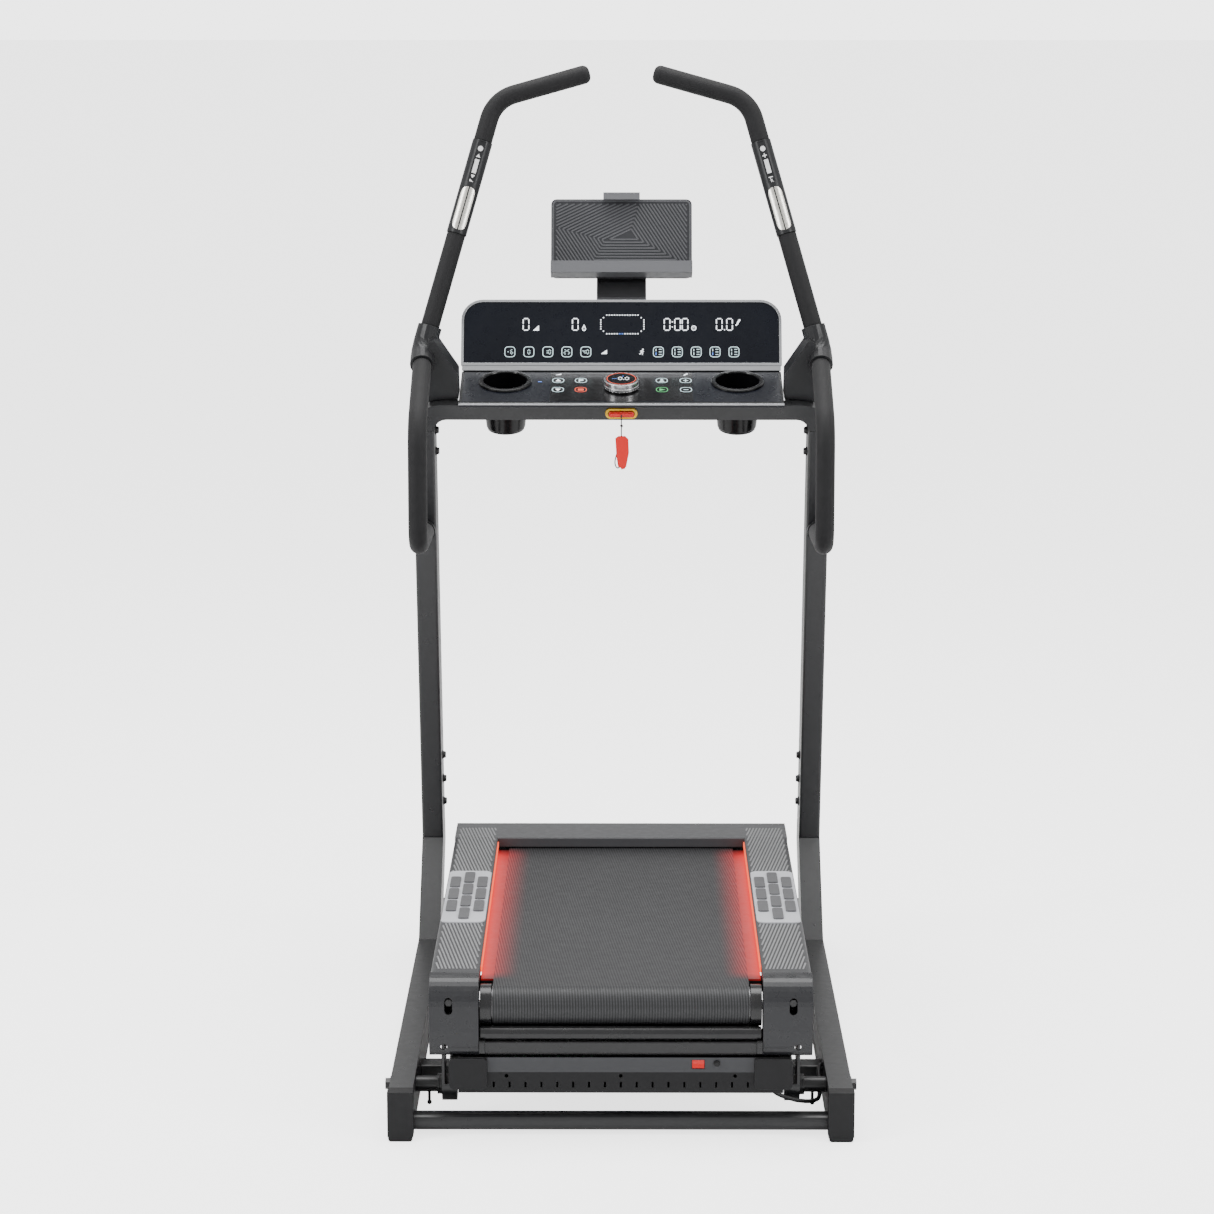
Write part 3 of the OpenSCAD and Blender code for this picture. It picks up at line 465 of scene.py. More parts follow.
def belt_material():
    """Woven-backed PVC belt with long ribs, painted shade in the grooves of its weave, and the red light of
    the strips painted along both edges as emission.
    """
    material, tree, shader = blank("belt_pvc", specular=0.35)
    colour = (0.05, 0.051, 0.054)
    skin = use_group(tree, GRAIN, Color=colour, Grain_Scale=1500.0, Roughness=0.5, Dust=0.02)
    cross = use_group(tree, RIBS, Along=(0.0, 1.0, 0.0), Pitch=2.6 * MM).outputs["Height"]
    weave = use_group(tree, RIBS, Along=(0.994, 0.11, 0.0), Pitch=4.6 * MM).outputs["Height"]
    shallow = plus(tree, 0.75, times(tree, cross, 0.25))
    cells = times(tree, shallow, weave)
    # painted shade: the grooves of the weave are darkened in the colour
    groove_shaded = blend_colours(tree, cells, tuple(c * 0.22 for c in colour), skin.outputs["Color"])
    dress(tree, shader, groove_shaded, skin, cells, 0.18 * MM, strength=0.7)
    # painted light: red emission standing in for the strips' light on the belt edges
    paint_strip_light(tree, shader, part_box("running_belt")[1].z - 0.004, cells)
    return material


def board_material():
    """Phenolic slider board; the red light of the strips is painted on its bare edges as emission."""
    material = grained("phenolic_board", (0.012, 0.011, 0.011), 0.4, worn=(0.3, 0.2, 0.12), edge=0.8)
    tree = material.node_tree
    # painted light: red emission standing in for the strips' light on the board edges
    paint_strip_light(tree, tree.nodes["Principled BSDF"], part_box("deck_board")[1].z - 0.003)
    return material


def tint_where(material, mask, colour):
    """Repaints the part of a material where mask is one."""
    tree = material.node_tree
    socket = tree.nodes["Principled BSDF"].inputs["Base Color"]
    given = socket.links[0].from_socket
    tree.links.new(blend_colours(tree, mask(tree), given, colour), socket)
    return material


def in_front_of(face, by):
    """A mask of what stands more than by metres proud of a face."""
    def mask(tree):
        proud = vector_maths(tree, "DOT_PRODUCT", rest_position(tree), tuple(face.out))
        return maths(tree, "GREATER_THAN", proud, face.origin.dot(face.out) + by)
    return mask


def shaded_lip_of_bezel(tree):
    """The lower lip of the tray trim, where the chrome is painted near-black as shade under its bright edge.
    """
    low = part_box("display_bezel")[0]
    place = split_vector(tree, rest_position(tree))
    front = maths(tree, "LESS_THAN", place["Y"], low.y + 20 * MM)
    return times(tree, front, maths(tree, "LESS_THAN", place["Z"], low.z + 5.4 * MM))


def plate_of_housing(tree):
    """The painted plate across the rear of the housing, between its corner blocks."""
    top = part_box("motor_housing")[1].z
    place = split_vector(tree, rest_position(tree))
    above = maths(tree, "GREATER_THAN", place["Z"], top - 25 * MM)
    inside = maths(tree, "LESS_THAN", maths(tree, "ABSOLUTE", place["X"]), 218 * MM)
    return times(tree, above, inside)


WORN_PLASTIC = (0.12, 0.12, 0.13)
WORN_COAT = (0.16, 0.16, 0.17)
WORN_COVER = (0.14, 0.14, 0.15)
MATERIALS = {
    "frame": grained("satin_charcoal_coat", (0.012, 0.0125, 0.014), 0.32, depth=0.04, scale=1300.0,
        worn=WORN_COAT, specular=0.6),
    "end_cap": grained("black_foot_plastic", (0.008, 0.008, 0.009), 0.5, wear=0.2, specular=0.3),
    "zinc": metal("zinc_plate", (0.3, 0.3, 0.31), 0.34),
    "black_bolt": grained("black_oxide", (0.006, 0.006, 0.007), 0.32, wear=0.5, edge=0.4),
    "shell": grained("console_shell_plastic", (0.009, 0.0095, 0.011), 0.42, worn=WORN_PLASTIC,
        specular=0.3),
    "glass": grained("blue_black_panel", (0.0035, 0.0048, 0.009), 0.3, wear=0.0, edge=0.4, depth=0.008,
        specular=0.22, dust=0.004, tone=0.06),
    # painted shade: the chrome bezel's lower front lip is tinted near-black
    "chrome": tint_where(metal("satin_chrome", (0.6, 0.61, 0.63), 0.2, stretch=(20.0, 700.0, 700.0)),
        shaded_lip_of_bezel, (0.03, 0.03, 0.033)),
    "gloss": grained("gloss_black_plastic", (0.003, 0.003, 0.0035), 0.22, edge=0.8, depth=0.02,
        wear=0.1, dust=0.005, specular=0.35),
    "dial_metal": metal("turned_dial_metal", (0.8, 0.8, 0.81), 0.22, stretch=(200.0, 200.0, 4000.0)),
    "yellow": grained("yellow_socket_plastic", (0.9, 0.55, 0.005), 0.3, worn=(0.9, 0.85, 0.5), edge=0.8),
    "red_plastic": grained("red_key_plastic", (0.62, 0.006, 0.003), 0.28, worn=(0.8, 0.2, 0.15), edge=0.8),
    "clip_red": grained("red_clip_plastic", (0.66, 0.008, 0.004), 0.34, worn=(0.85, 0.25, 0.2), edge=1.0),
    "cord": ribbed("braided_cord", (0.012, 0.012, 0.013), 0.8, (0.4, 0.3, 0.85), 1.2, rib=0.15, sheen=0.3),
    "steel_tube": grained("bar_coat", (0.011, 0.011, 0.012), 0.34, specular=0.35),
    "foam": grained("closed_cell_foam", (0.009, 0.009, 0.01), 0.66, scale=1100.0, depth=0.3, wear=0.12,
        dust=0.02, sheen=0.06, specular=0.25, worn=(0.06, 0.06, 0.06)),
    "pod": grained("pod_plastic", (0.011, 0.0115, 0.013), 0.36, edge=0.8, worn=WORN_PLASTIC, specular=0.35),
    "clamp": grained("clamp_coat", (0.011, 0.0115, 0.013), 0.33, edge=1.6, worn=WORN_COAT, specular=0.35),
    "key_grey": grained("grey_key_plastic", (0.72, 0.72, 0.73), 0.36, edge=0.5),
    "pulse": metal("pulse_steel", (0.86, 0.84, 0.78), 0.26, stretch=(500.0, 500.0, 40.0)),
    "neck": metal("neck_coat", (0.1, 0.1, 0.105), 0.36, stretch=(25.0, 600.0, 600.0), edge=1.0),
    "tablet": tint_where(grained("tablet_plastic", (0.03, 0.031, 0.035), 0.46, edge=0.9, scale=1200.0,
        worn=WORN_PLASTIC, specular=0.3), in_front_of(TABLET, 0.003), (0.12, 0.122, 0.13)),
    "rib": grained("tablet_rib_plastic", (0.085, 0.087, 0.094), 0.42, edge=0.5, scale=1200.0,
        worn=WORN_COAT),
    "wheel": grained("wheel_rubber", (0.01, 0.01, 0.011), 0.62, edge=0.6),
    "cast": metal("cast_aluminium", (0.4, 0.4, 0.41), 0.46, stretch=(300.0, 300.0, 300.0), edge=1.2,
        depth=0.08),
    "rod": metal("ground_rod", (0.66, 0.66, 0.68), 0.16, stretch=(900.0, 60.0, 60.0)),
    "cable": grained("cable_jacket", (0.007, 0.007, 0.008), 0.46, wear=0.0, edge=0.3),
    "board": board_material(),
    "cushion": grained("cushion_rubber", (0.012, 0.012, 0.013), 0.66),
    "cover": grained("cover_plastic", (0.036, 0.037, 0.04), 0.42, edge=1.2, worn=WORN_COVER),
    "front_trim": grained("front_cover_plastic", (0.05, 0.051, 0.055), 0.4, edge=1.4, worn=(0.2, 0.2, 0.2)),
    "cover_rib": grained("cover_rib_plastic", (0.24, 0.243, 0.25), 0.38, edge=0.5, worn=(0.3, 0.3, 0.3)),
    "plate": grained("silver_plate_paint", (0.56, 0.57, 0.6), 0.34, worn=(0.75, 0.75, 0.76), edge=0.6,
        scale=2200.0, depth=0.03),
    "pad": ribbed("pad_rubber", (0.13, 0.131, 0.137), 0.6, (0.0, 1.0, 0.0), 2.2, rib=0.2),
    "end_cover": grained("satin_end_cover", (0.017, 0.0175, 0.02), 0.3, edge=1.6, depth=0.03,
        worn=WORN_COVER, specular=0.45),
    "light": glowing("red_light_diffuser", (1.0, 0.09, 0.02), 2.0),
    "guard": grained("guard_coat", (0.007, 0.007, 0.008), 0.24, edge=0.9, specular=0.55),
    "housing": tint_where(grained("housing_plastic", (0.006, 0.006, 0.007), 0.46, depth=0.16,
        specular=0.3), plate_of_housing, (0.045, 0.046, 0.05)),
    "motor": grained("motor_enamel", (0.02, 0.021, 0.024), 0.36, edge=1.0),
    "circuit": ribbed("circuit_board", (0.012, 0.11, 0.045), 0.4, (1.0, 0.0, 0.0), 2.5, rib=0.05),
    "belt": belt_material(),
    "white": glowing("white_led", (0.92, 0.96, 1.0), 1.7, base=(0.6, 0.62, 0.65)),
    "cyan": glowing("cyan_led", (0.62, 0.86, 0.9), 0.95, base=(0.4, 0.5, 0.52)),
    "blue": glowing("blue_led", (0.12, 0.3, 1.0), 1.8),
    "red": glowing("red_led", (1.0, 0.09, 0.03), 1.7),
    "green": glowing("green_led", (0.1, 0.75, 0.22), 1.2),
    "print": grained("white_print", (0.78, 0.78, 0.78), 0.5, wear=0.0, edge=0.1),
}

FINISHES = {
    "frame": "base_rails base_cross_tubes upright_left upright_right console_beam "
             "deck_side_members deck_cross_members",
    "end_cap": "end_caps", "zinc": "motor_pulley rear_roller front_roller",
    "black_bolt": "frame_bolts pivot_bolts", "clamp": "handlebar_clamps",
    "steel_tube": "handlebar_left handlebar_right", "foam": "grip_sleeves", "cord": "key_lanyard",
    "cable": "console_cable", "shell": "console_tray console_back", "glass": "touch_panels",
    "chrome": "display_bezel", "gloss": "cup_holders dial_base breaker_button power_inlet",
    "dial_metal": "dial_ring", "yellow": "key_socket", "red_plastic": "safety_key power_switch",
    "clip_red": "key_clip", "pod": "control_pods",
    "key_grey": "start_key_left start_key_right incline_toggle speed_toggle", "pulse": "pulse_plates",
    "neck": "tablet_neck", "tablet": "tablet_plate tablet_clamp",
    "wheel": "transport_wheel_left transport_wheel_right drive_belt", "cast": "lift_motor",
    "rod": "lift_rod", "board": "deck_board", "cushion": "deck_cushions", "belt": "running_belt",
    "cover": "side_cover_left side_cover_right", "front_trim": "front_cover", "plate": "footpad_plates",
    "pad": "footpad_grips", "end_cover": "rear_covers", "light": "light_strips", "guard": "rear_guard",
    "housing": "motor_housing", "motor": "drive_motor", "circuit": "motor_controller",
}


def finish_frame():
    for finish, names in FINISHES.items():
        for name in names.split():
            data = NODES[name].data
            if not data.materials:
                data.materials.append(MATERIALS[finish])
            for k in range(len(data.materials)):
                data.materials[k] = MATERIALS[finish]


# ---- mesh helpers ----
def add_piece(name, mesh_data, finish, body, smooth=True):
    mesh_data.materials.append(MATERIALS[finish])
    if smooth:
        mesh_data.shade_smooth()
    piece = add_to_scene(name, mesh_data)
    if body:
        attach(piece, body)
    return piece


def mesh_from(name, points, faces):
    data = bpy.data.meshes.new(name)
    data.from_pydata([tuple(p) for p in points], [], faces)
    data.validate()
    data.update()
    return data


def closed_mesh(name, points, faces, weld=0.0):
    """A mesh with its faces turned outward, after points closer than weld are joined."""
    data = mesh_from(name, points, faces)
    merged = bmesh.new()
    merged.from_mesh(data)
    if weld:
        bmesh.ops.remove_doubles(merged, verts=merged.verts, dist=weld)
        bmesh.ops.dissolve_degenerate(merged, edges=merged.edges, dist=weld)
    bmesh.ops.recalc_face_normals(merged, faces=merged.faces)
    merged.to_mesh(data)
    merged.free()
    return data


def rounded_path(corners, bends, step=math.radians(5)):
    """Straight lines through corners with a round bend of the given radius at each."""
    path = [corners[0]]
    for before, corner, after, radius in zip(corners, corners[1:], corners[2:], bends[1:]):
        d0, d1 = (corner - before).normalized(), (after - corner).normalized()
        turn = d0.angle(d1)
        start = corner - d0 * radius * math.tan(turn / 2)
        side = (d1 - d0 * d0.dot(d1)).normalized()
        count = max(2, round(turn / step))
        for k in range(count + 1):
            t = turn * k / count
            path.append(start + (d0 * math.sin(t) + side * (1 - math.cos(t))) * radius)
    return path + [corners[-1]]


def spline_path(points, between=5):
    """Catmull-Rom curve through points."""
    path = []
    for k in range(len(points) - 1):
        p0, p1 = points[max(k - 1, 0)], points[k]
        p2, p3 = points[k + 1], points[min(k + 2, len(points) - 1)]
        for j in range(between):
            t = j / between
            path.append(0.5 * (2 * p1 + (p2 - p0) * t + (2 * p0 - 5 * p1 + 4 * p2 - p3) * t * t
                               + (3 * p1 - p0 - 3 * p2 + p3) * t ** 3))
    return path + [points[-1]]


def tube(name, path, radii, sides=40):
    """Closed round tube along a path, with one radius or a radius for each point."""
    count = len(path)
    if not isinstance(radii, list):
        radii = [radii] * count
    points, faces = [], []
    side = Vector((0.6, 0.2, 0.77))
    for k, centre in enumerate(path):
        ahead = (path[min(k + 1, count - 1)] - path[max(k - 1, 0)]).normalized()
        side = (side - ahead * side.dot(ahead)).normalized()
        across = ahead.cross(side)
        for j in range(sides):
            a = 2 * math.pi * j / sides
            points.append(centre + (side * math.cos(a) + across * math.sin(a)) * radii[k])
    for k in range(count - 1):
        for j in range(sides):
            m = (j + 1) % sides
            faces.append((k * sides + j, k * sides + m, (k + 1) * sides + m, (k + 1) * sides + j))
    faces.append(tuple(range(sides - 1, -1, -1)))
    faces.append(tuple((count - 1) * sides + j for j in range(sides)))
    return mesh_from(name, points, faces)


def round_start(path, radii, reach, steps=5):
    """The path and its radii with rings near the start that round that end off over reach."""
    ahead = (path[1] - path[0]).normalized()
    quarter = [math.pi / 2 * k / steps for k in range(steps + 1)]
    rings = [path[0] + ahead * reach * (1 - math.cos(a)) for a in quarter]
    return rings + path[1:], [radii[0] - reach * (1 - math.sin(a)) for a in quarter] + radii[1:]


def join_meshes(name, parts):
    joined = bmesh.new()
    for part in parts:
        joined.from_mesh(part)
        bpy.data.meshes.remove(part)
    data = bpy.data.meshes.new(name)
    joined.to_mesh(data)
    joined.free()
    return data


def sided(points, side):
    """The points of the right-hand side, mirrored when side is negative."""
    return points if side > 0 else [Vector((-p.x, p.y, p.z)) for p in points]


def side_name(side):
    return "right" if side > 0 else "left"


# ---- flat artwork on a face of the frame ----
DIGIT_BARS = {"0": "abcdef", "1": "bc", "2": "abged", "4": "fgbc", "5": "afgcd", "6": "afgedc", "-": "g"}
SUNK = 0.02
SHARPEST_TURN = 0.6


class Artwork:
    """Thin closed shapes laid on a face, one mesh for each ink."""

    def __init__(self, face, thick=0.08):
        self.face = face
        self.thick = thick
        self.shapes = {}

    def polygon(self, ink, points):
        self.shapes.setdefault(ink, []).append([list(points)])

    def strip(self, ink, points, width, closed=False):
        count = len(points)
        left, right = [], []
        for k, (x, y) in enumerate(points):
            before = points[k - 1] if closed or k else points[k]
            after = points[(k + 1) % count] if closed or k < count - 1 else points[k]
            dx0, dy0 = x - before[0], y - before[1]
            dx1, dy1 = after[0] - x, after[1] - y
            if not (dx0 or dy0):
                dx0, dy0 = dx1, dy1
            if not (dx1 or dy1):
                dx1, dy1 = dx0, dy0
            a, b = math.hypot(dx0, dy0), math.hypot(dx1, dy1)
            nx, ny = -(dy0 / a + dy1 / b), dx0 / a + dx1 / b
            reach = width / max(math.hypot(nx, ny), SHARPEST_TURN) ** 2
            left.append((x + nx * reach, y + ny * reach))
            right.append((x - nx * reach, y - ny * reach))
        pairs = range(count if closed else count - 1)
        quads = [[right[k], right[(k + 1) % count], left[(k + 1) % count], left[k]] for k in pairs]
        self.shapes.setdefault(ink, []).append(quads)

    def ring(self, ink, cx, cy, rx, ry, width, count=24):
        angles = [2 * math.pi * k / count for k in range(count)]
        self.strip(ink, [(cx + rx * math.cos(a), cy + ry * math.sin(a)) for a in angles], width, True)

    def disc(self, ink, cx, cy, rx, ry=None, count=16):
        angles = [2 * math.pi * k / count for k in range(count)]
        self.polygon(ink, [(cx + rx * math.cos(a), cy + (ry or rx) * math.sin(a)) for a in angles])

    def box_outline(self, ink, cx, cy, w, h, r, width):
        points = []
        for sx, sy, start in ((1, 1, 0), (-1, 1, 90), (-1, -1, 180), (1, -1, 270)):
            for k in range(5):
                a = math.radians(start + 22.5 * k)
                points.append((cx + sx * (w / 2 - r) + r * math.cos(a),
                               cy + sy * (h / 2 - r) + r * math.sin(a)))
        self.strip(ink, points, width, True)

    def digits(self, ink, text, cx, cy, w, h, gap, bar):
        """Seven-bar digits, a colon or a point, centred on cx, cy."""
        wide = [bar * 1.2 if c in ":." else w for c in text]
        x = cx - (sum(wide) + gap * (len(text) - 1)) / 2
        e = bar * 0.75
        lines = {"a": ((e, h), (w - e, h)), "b": ((w, h - e), (w, h / 2 + e)), "c": ((w, h / 2 - e), (w, e)),
                 "d": ((e, 0), (w - e, 0)), "e": ((0, h / 2 - e), (0, e)), "f": ((0, h - e), (0, h / 2 + e)),
                 "g": ((e, h / 2), (w - e, h / 2))}
        for c, cell in zip(text, wide):
            if c in ":.":
                for y in ((cy - h * 0.22, cy + h * 0.22) if c == ":" else (cy - h / 2 + bar / 2,)):
                    self.disc(ink, x + cell / 2, y, bar * 0.62, count=8)
            else:
                for key in DIGIT_BARS[c]:
                    self.strip(ink, [(x + px, cy - h / 2 + py) for px, py in lines[key]], bar)
            x += cell + gap

    def wedge(self, ink, cx, cy, w, h):
        self.polygon(ink, [(cx - w / 2, cy - h / 2), (cx + w / 2, cy - h / 2), (cx + w / 2, cy + h / 2)])

    def runner(self, ink, cx, cy, s):
        """A small running figure, s tall, of a dot and bent strokes."""
        self.disc(ink, cx + 0.16 * s, cy + 0.42 * s, 0.12 * s, count=10)
        for width, bends in ((0.17, ((0.08, 0.24), (-0.06, -0.06))),
                             (0.09, ((-0.3, 0.1), (0.02, 0.22), (0.3, 0.04))),
                             (0.11, ((-0.08, -0.06), (0.14, -0.2), (0.06, -0.5))),
                             (0.11, ((-0.1, -0.08), (-0.2, -0.32), (-0.42, -0.38)))):
            self.strip(ink, [(cx + x * s, cy + y * s) for x, y in bends], width * s)

    def build(self, name, body):
        for ink, groups in self.shapes.items():
            merged = bmesh.new()
            for quads in groups:
                seen = {}
                faces = []
                for quad in quads:
                    corners = []
                    for u, v in quad:
                        key = (round(u, 4), round(v, 4))
                        if key not in seen:
                            seen[key] = merged.verts.new(self.face.at(u, v, -SUNK))
                        if seen[key] not in corners:
                            corners.append(seen[key])
                    if len(corners) > 2:
                        faces.append(merged.faces.new(corners))
                made = bmesh.ops.extrude_face_region(merged, geom=faces)
                raised = [g for g in made["geom"] if isinstance(g, bmesh.types.BMVert)]
                bmesh.ops.translate(merged, verts=raised, vec=self.face.out * (self.thick + SUNK) * MM)
            bmesh.ops.recalc_face_normals(merged, faces=merged.faces)
            data = bpy.data.meshes.new(f"{name}_{ink}")
            merged.to_mesh(data)
            merged.free()
            add_piece(f"{name}_{ink}", data, ink, body, smooth=False)


# ---- cords ----
LANYARD = [(0, 828.4, 1084.4), (0, 825.5, 1083.5), (0, 822.5, 1082), (0, 820.5, 1079), (0, 820, 1075),
           (0, 820, 1070), (0.6, 820, 1065), (0, 820, 1060), (0, 820, 1054), (0, 821, 1046), (-1, 823, 1040),
           (-3, 825, 1034), (-5, 826, 1027), (-7, 826, 1020), (-9, 826, 1012), (-11, 826, 1004),
           (-11.5, 826, 997), (-10, 826, 991), (-6.5, 825.5, 988), (-3, 825, 990), (-1.5, 824, 995),
           (-1.5, 822, 1000)]
LANYARD_RADIUS = 1.1
KNOT = (0.3, 820, 1066)
CABLE = [(247, 62, 79), (247.2, 62, 74), (251, 62, 68), (258, 63, 62), (267, 65, 57), (278, 66, 53),
         (289, 68, 49), (300, 72, 46), (311, 79, 43), (321, 89, 41), (328, 101, 40), (331, 115, 41),
         (332, 130, 44), (332.5, 145, 49), (333, 160, 54), (333, 175, 59), (334, 188, 62.5),
         (336.5, 199, 64), (341.5, 207.5, 64.3), (348, 214, 64)]
CABLE_RADIUS = 3.5
KNOT_SIZE = 0.75
KNOT_CORD_RADIUS = 0.95
KNOT_STEPS = 48


def make_lanyard():
    path = spline_path([from_rear(*p) for p in LANYARD])
    cord = add_piece("lanyard", tube("lanyard", path, LANYARD_RADIUS * MM, 16), "cord", "safety_key")
    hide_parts("key_lanyard")
    centre = from_rear(*KNOT)
    loops = []
    for k in range(KNOT_STEPS):
        t = 2 * math.pi * k / KNOT_STEPS
        turn = Vector((math.sin(t) + 2 * math.sin(2 * t), math.cos(t) - 2 * math.cos(2 * t),
                       -1.3 * math.sin(3 * t)))
        loops.append(centre + turn * KNOT_SIZE * MM)
    data = tube("lanyard_knot", loops, KNOT_CORD_RADIUS * MM, 12)
    knot = add_piece("lanyard_knot", data, "cord", "safety_key")


def make_console_cable():
    points = [from_rear(*p) for p in CABLE]
    data = tube("console_cable_jacket", spline_path(points, 4), CABLE_RADIUS * MM, 20)
    jacket = add_piece("console_cable_jacket", data, "cable", None)
    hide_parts("console_cable")
    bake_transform(jacket)


# ---- handlebars ----
BAR = [(66, 988, 1690), (232, 980, 1644), (361, 870, 1197), (361, 662, 1087), (361, 652, 872),
       (361, 884.5, 862)]
BAR_BENDS = [0, 66, 46, 70, 40, 0]
GRIP_RADIUS = 17
BAR_RADIUS = 13.5
CLAMP_HALF = 46
POD_FROM, POD_LENGTH, POD_FRONT = 222, 176, 17
CUP_DEPTH = 15
FIT_GAP = 0.4
TIP_OVERHANG = 8
TIP_ROUND = 12 * MM
CUT_ROUND = 1.5 * MM


def bar_start():
    """Corner points of the right-hand bar and the unit direction up its pod."""
    corners = [from_rear(*p) for p in BAR]
    return corners, (corners[1] - corners[2]).normalized()


def make_handlebar(side):
    """A bent steel bar with three foam grips: over the tip, below the pod and round the side handle."""
    label = side_name(side)
    corners, up_bar = bar_start()
    bends = [radius * MM for radius in BAR_BENDS]
    steel = tube(f"steel_bar_{label}", sided(rounded_path(corners, bends), side), BAR_RADIUS * MM)
    bar = add_piece(f"steel_bar_{label}", steel, "steel_tube", "base")
    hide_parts(f"handlebar_{label}")
    down_bar = (corners[3] - corners[2]).normalized()
    along_top = (corners[0] - corners[1]).normalized()
    last = (corners[5] - corners[4]).normalized()
    tip = corners[0] + along_top * TIP_OVERHANG * MM
    above_pod = corners[2] + up_bar * (POD_FROM + POD_LENGTH + FIT_GAP) * MM
    below_pod = corners[2] + up_bar * (POD_FROM - FIT_GAP) * MM
    clamp_high = corners[2] + up_bar * (CLAMP_HALF + FIT_GAP) * MM
    clamp_low = corners[2] + down_bar * (CLAMP_HALF + FIT_GAP) * MM
    low_end = corners[5] - last * (CUP_DEPTH + 1) * MM
    runs = [([tip, corners[1], above_pod], [0, bends[1], 0], TIP_ROUND),
            ([below_pod, clamp_high], [0, 0], CUT_ROUND),
            ([clamp_low, corners[3], corners[4], low_end], [0, bends[3], bends[4], 0], CUT_ROUND)]
    parts = []
    for k, (points, radii, first_round) in enumerate(runs):
        path = rounded_path(points, radii)
        path, sizes = round_start(path, [GRIP_RADIUS * MM] * len(path), first_round)
        path, sizes = round_start(path[::-1], sizes[::-1], CUT_ROUND)
        parts.append(tube(f"foam_{k}", sided(path, side), sizes, 48))
    foam = add_piece(f"foam_grip_{label}", join_meshes(f"foam_grip_{label}", parts), "foam", "base")
    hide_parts("grip_sleeves")


# ---- console artwork, placed in millimetres across and up from the middle of a face's lower edge ----
READOUT_ROW, PRESET_ROW = 75, 21.5
READOUT_DIGIT = (10.4, 22.6)
READOUT_BAR = 1.9
PRESET_KEY = (18.6, 19.4, 5.5, 1.3)
PRESET_PITCHES = (35.15, 34.95)
TRACK_MIDDLE, TRACK_ACROSS, TRACK_UP, TRACK_CORNER, TRACK_DOT = 1.7, 40, 18.2, 11, 1.25
PILL_KEY = (20.5, 21, 8, 1.4)
UPPER_KEYS, LOWER_KEYS = 100, 57
DIAL_LIGHT_RADIUS = 26.2
PILLS = [(-116, UPPER_KEYS, "cyan"), (-116, LOWER_KEYS, "cyan"), (-74.3, UPPER_KEYS, "cyan"),
         (-74.3, LOWER_KEYS, "red"), (74.2, UPPER_KEYS, "cyan"), (74.2, LOWER_KEYS, "green"),
         (118, UPPER_KEYS, "cyan"), (118, LOWER_KEYS, "cyan")]
TRAY_SHAPES = [("white", [(-121, 96), (-111, 96), (-116, 106)]),
               ("white", [(-121, 61), (-116, 51), (-111, 61)]),
               ("cyan", [(-78.5, 93), (-76, 93), (-76, 98), (-70, 98), (-70, 107), (-78.5, 107)]),
               ("red", [(-79.5, 52.5), (-69, 52.5), (-69, 61.5), (-79.5, 61.5)]),
               ("cyan", [(69.2, 93.5), (79.2, 93.5), (76.6, 99.5), (71.8, 99.5)]),
               ("green", [(69.5, 51.5), (80, 57), (69.5, 62.5)]),
               ("white", [(114, 124), (116.5, 129), (121, 134), (123, 131), (119, 127), (116, 122.5)])]
TRAY_STROKES = [("cyan", [(113.5, 100), (122.5, 100)], 2), ("cyan", [(118, 94.5), (118, 98.9)], 2),
                ("cyan", [(118, 101.1), (118, 105.5)], 2), ("cyan", [(113.5, 57), (122.5, 57)], 2),
                ("blue", [(-153, 94), (-146, 94)], 2.2)]


def draw_track(art, row):
    """A running track of dots, with two blue dots where the run starts."""
    half = TRACK_ACROSS - TRACK_CORNER
    dots = []
    for k in range(13):
        u = TRACK_MIDDLE - half + 2 * half * k / 12
        dots += [(u, TRACK_UP, "white"), (u, -TRACK_UP, "blue" if k in (5, 6) else "white")]
    for s in (-1, 1):
        dots += [(TRACK_MIDDLE + s * (TRACK_ACROSS - 5), v * (TRACK_UP - 5), "white") for v in (-1, 1)]
        dots += [(TRACK_MIDDLE + s * TRACK_ACROSS, 4.4 * k, "white") for k in range(-2, 3)]
    for u, v, ink in dots:
        art.disc(ink, u, row + v, TRACK_DOT, count=10)


def make_display():
    """Lit readouts, their symbols, a track of dots and two rows of preset keys."""
    art = Artwork(DISPLAY)
    row, line = READOUT_ROW, PRESET_ROW
    icon = row - 7
    for text, u, gap in (("0", -177, 4), ("0", -85.6, 4), ("0:00", 101.3, 3.4), ("0.0", 191, 3.2)):
        art.digits("white", text, u, row, *READOUT_DIGIT, gap, READOUT_BAR)
    art.wedge("white", -158.6, icon, 11.2, 10.4)
    drop = [(-69.4, 5), (-66.6, -1), (-67.2, -4), (-69.4, -5), (-71.6, -4), (-72.2, -1)]
    art.strip("white", [(u, icon + v) for u, v in drop], 1.7, True)
    draw_track(art, row)
    art.ring("white", 134.2, icon, 3.9, 4.2, 1.5)
    art.strip("white", [(134.2, icon + 2.2), (134.2, icon), (135.8, icon)], 0.9)
    shoe = [(211, -1), (213.4, 1), (215, 6), (219, 11), (221, 8.4), (218.6, 5), (215.6, -0.4), (212.4, -3)]
    art.polygon("white", [(u, row + v) for u, v in shoe])
    for k, label in enumerate(("-6", "0", "10", "25", "40")):
        u = -206.5 + PRESET_PITCHES[0] * k
        art.box_outline("cyan", u, line, *PRESET_KEY)
        art.digits("cyan", label, u, line, 3.9, 8.2, 2.6, 1.35)
    art.wedge("white", -32.4, line, 11.2, 8.2)
    art.runner("white", 37.9, line, 11.5)
    for k in range(5):
        u = 68.5 + PRESET_PITCHES[1] * k
        art.box_outline("cyan", u, line, *PRESET_KEY)
        for v in (-5, 0, 5):
            art.strip("cyan", [(u + 0.8, line + v), (u + 6.2, line + v)], 1.4)
        art.strip("blue" if k in (0, 3) else "cyan", [(u - 4.4, line - 6), (u - 4.4, line - 1)], 1.5)
        art.strip("cyan", [(u - 4.4, line + 1.4), (u - 4.4, line + 6)], 1.5)
    art.build("display_art", "base")


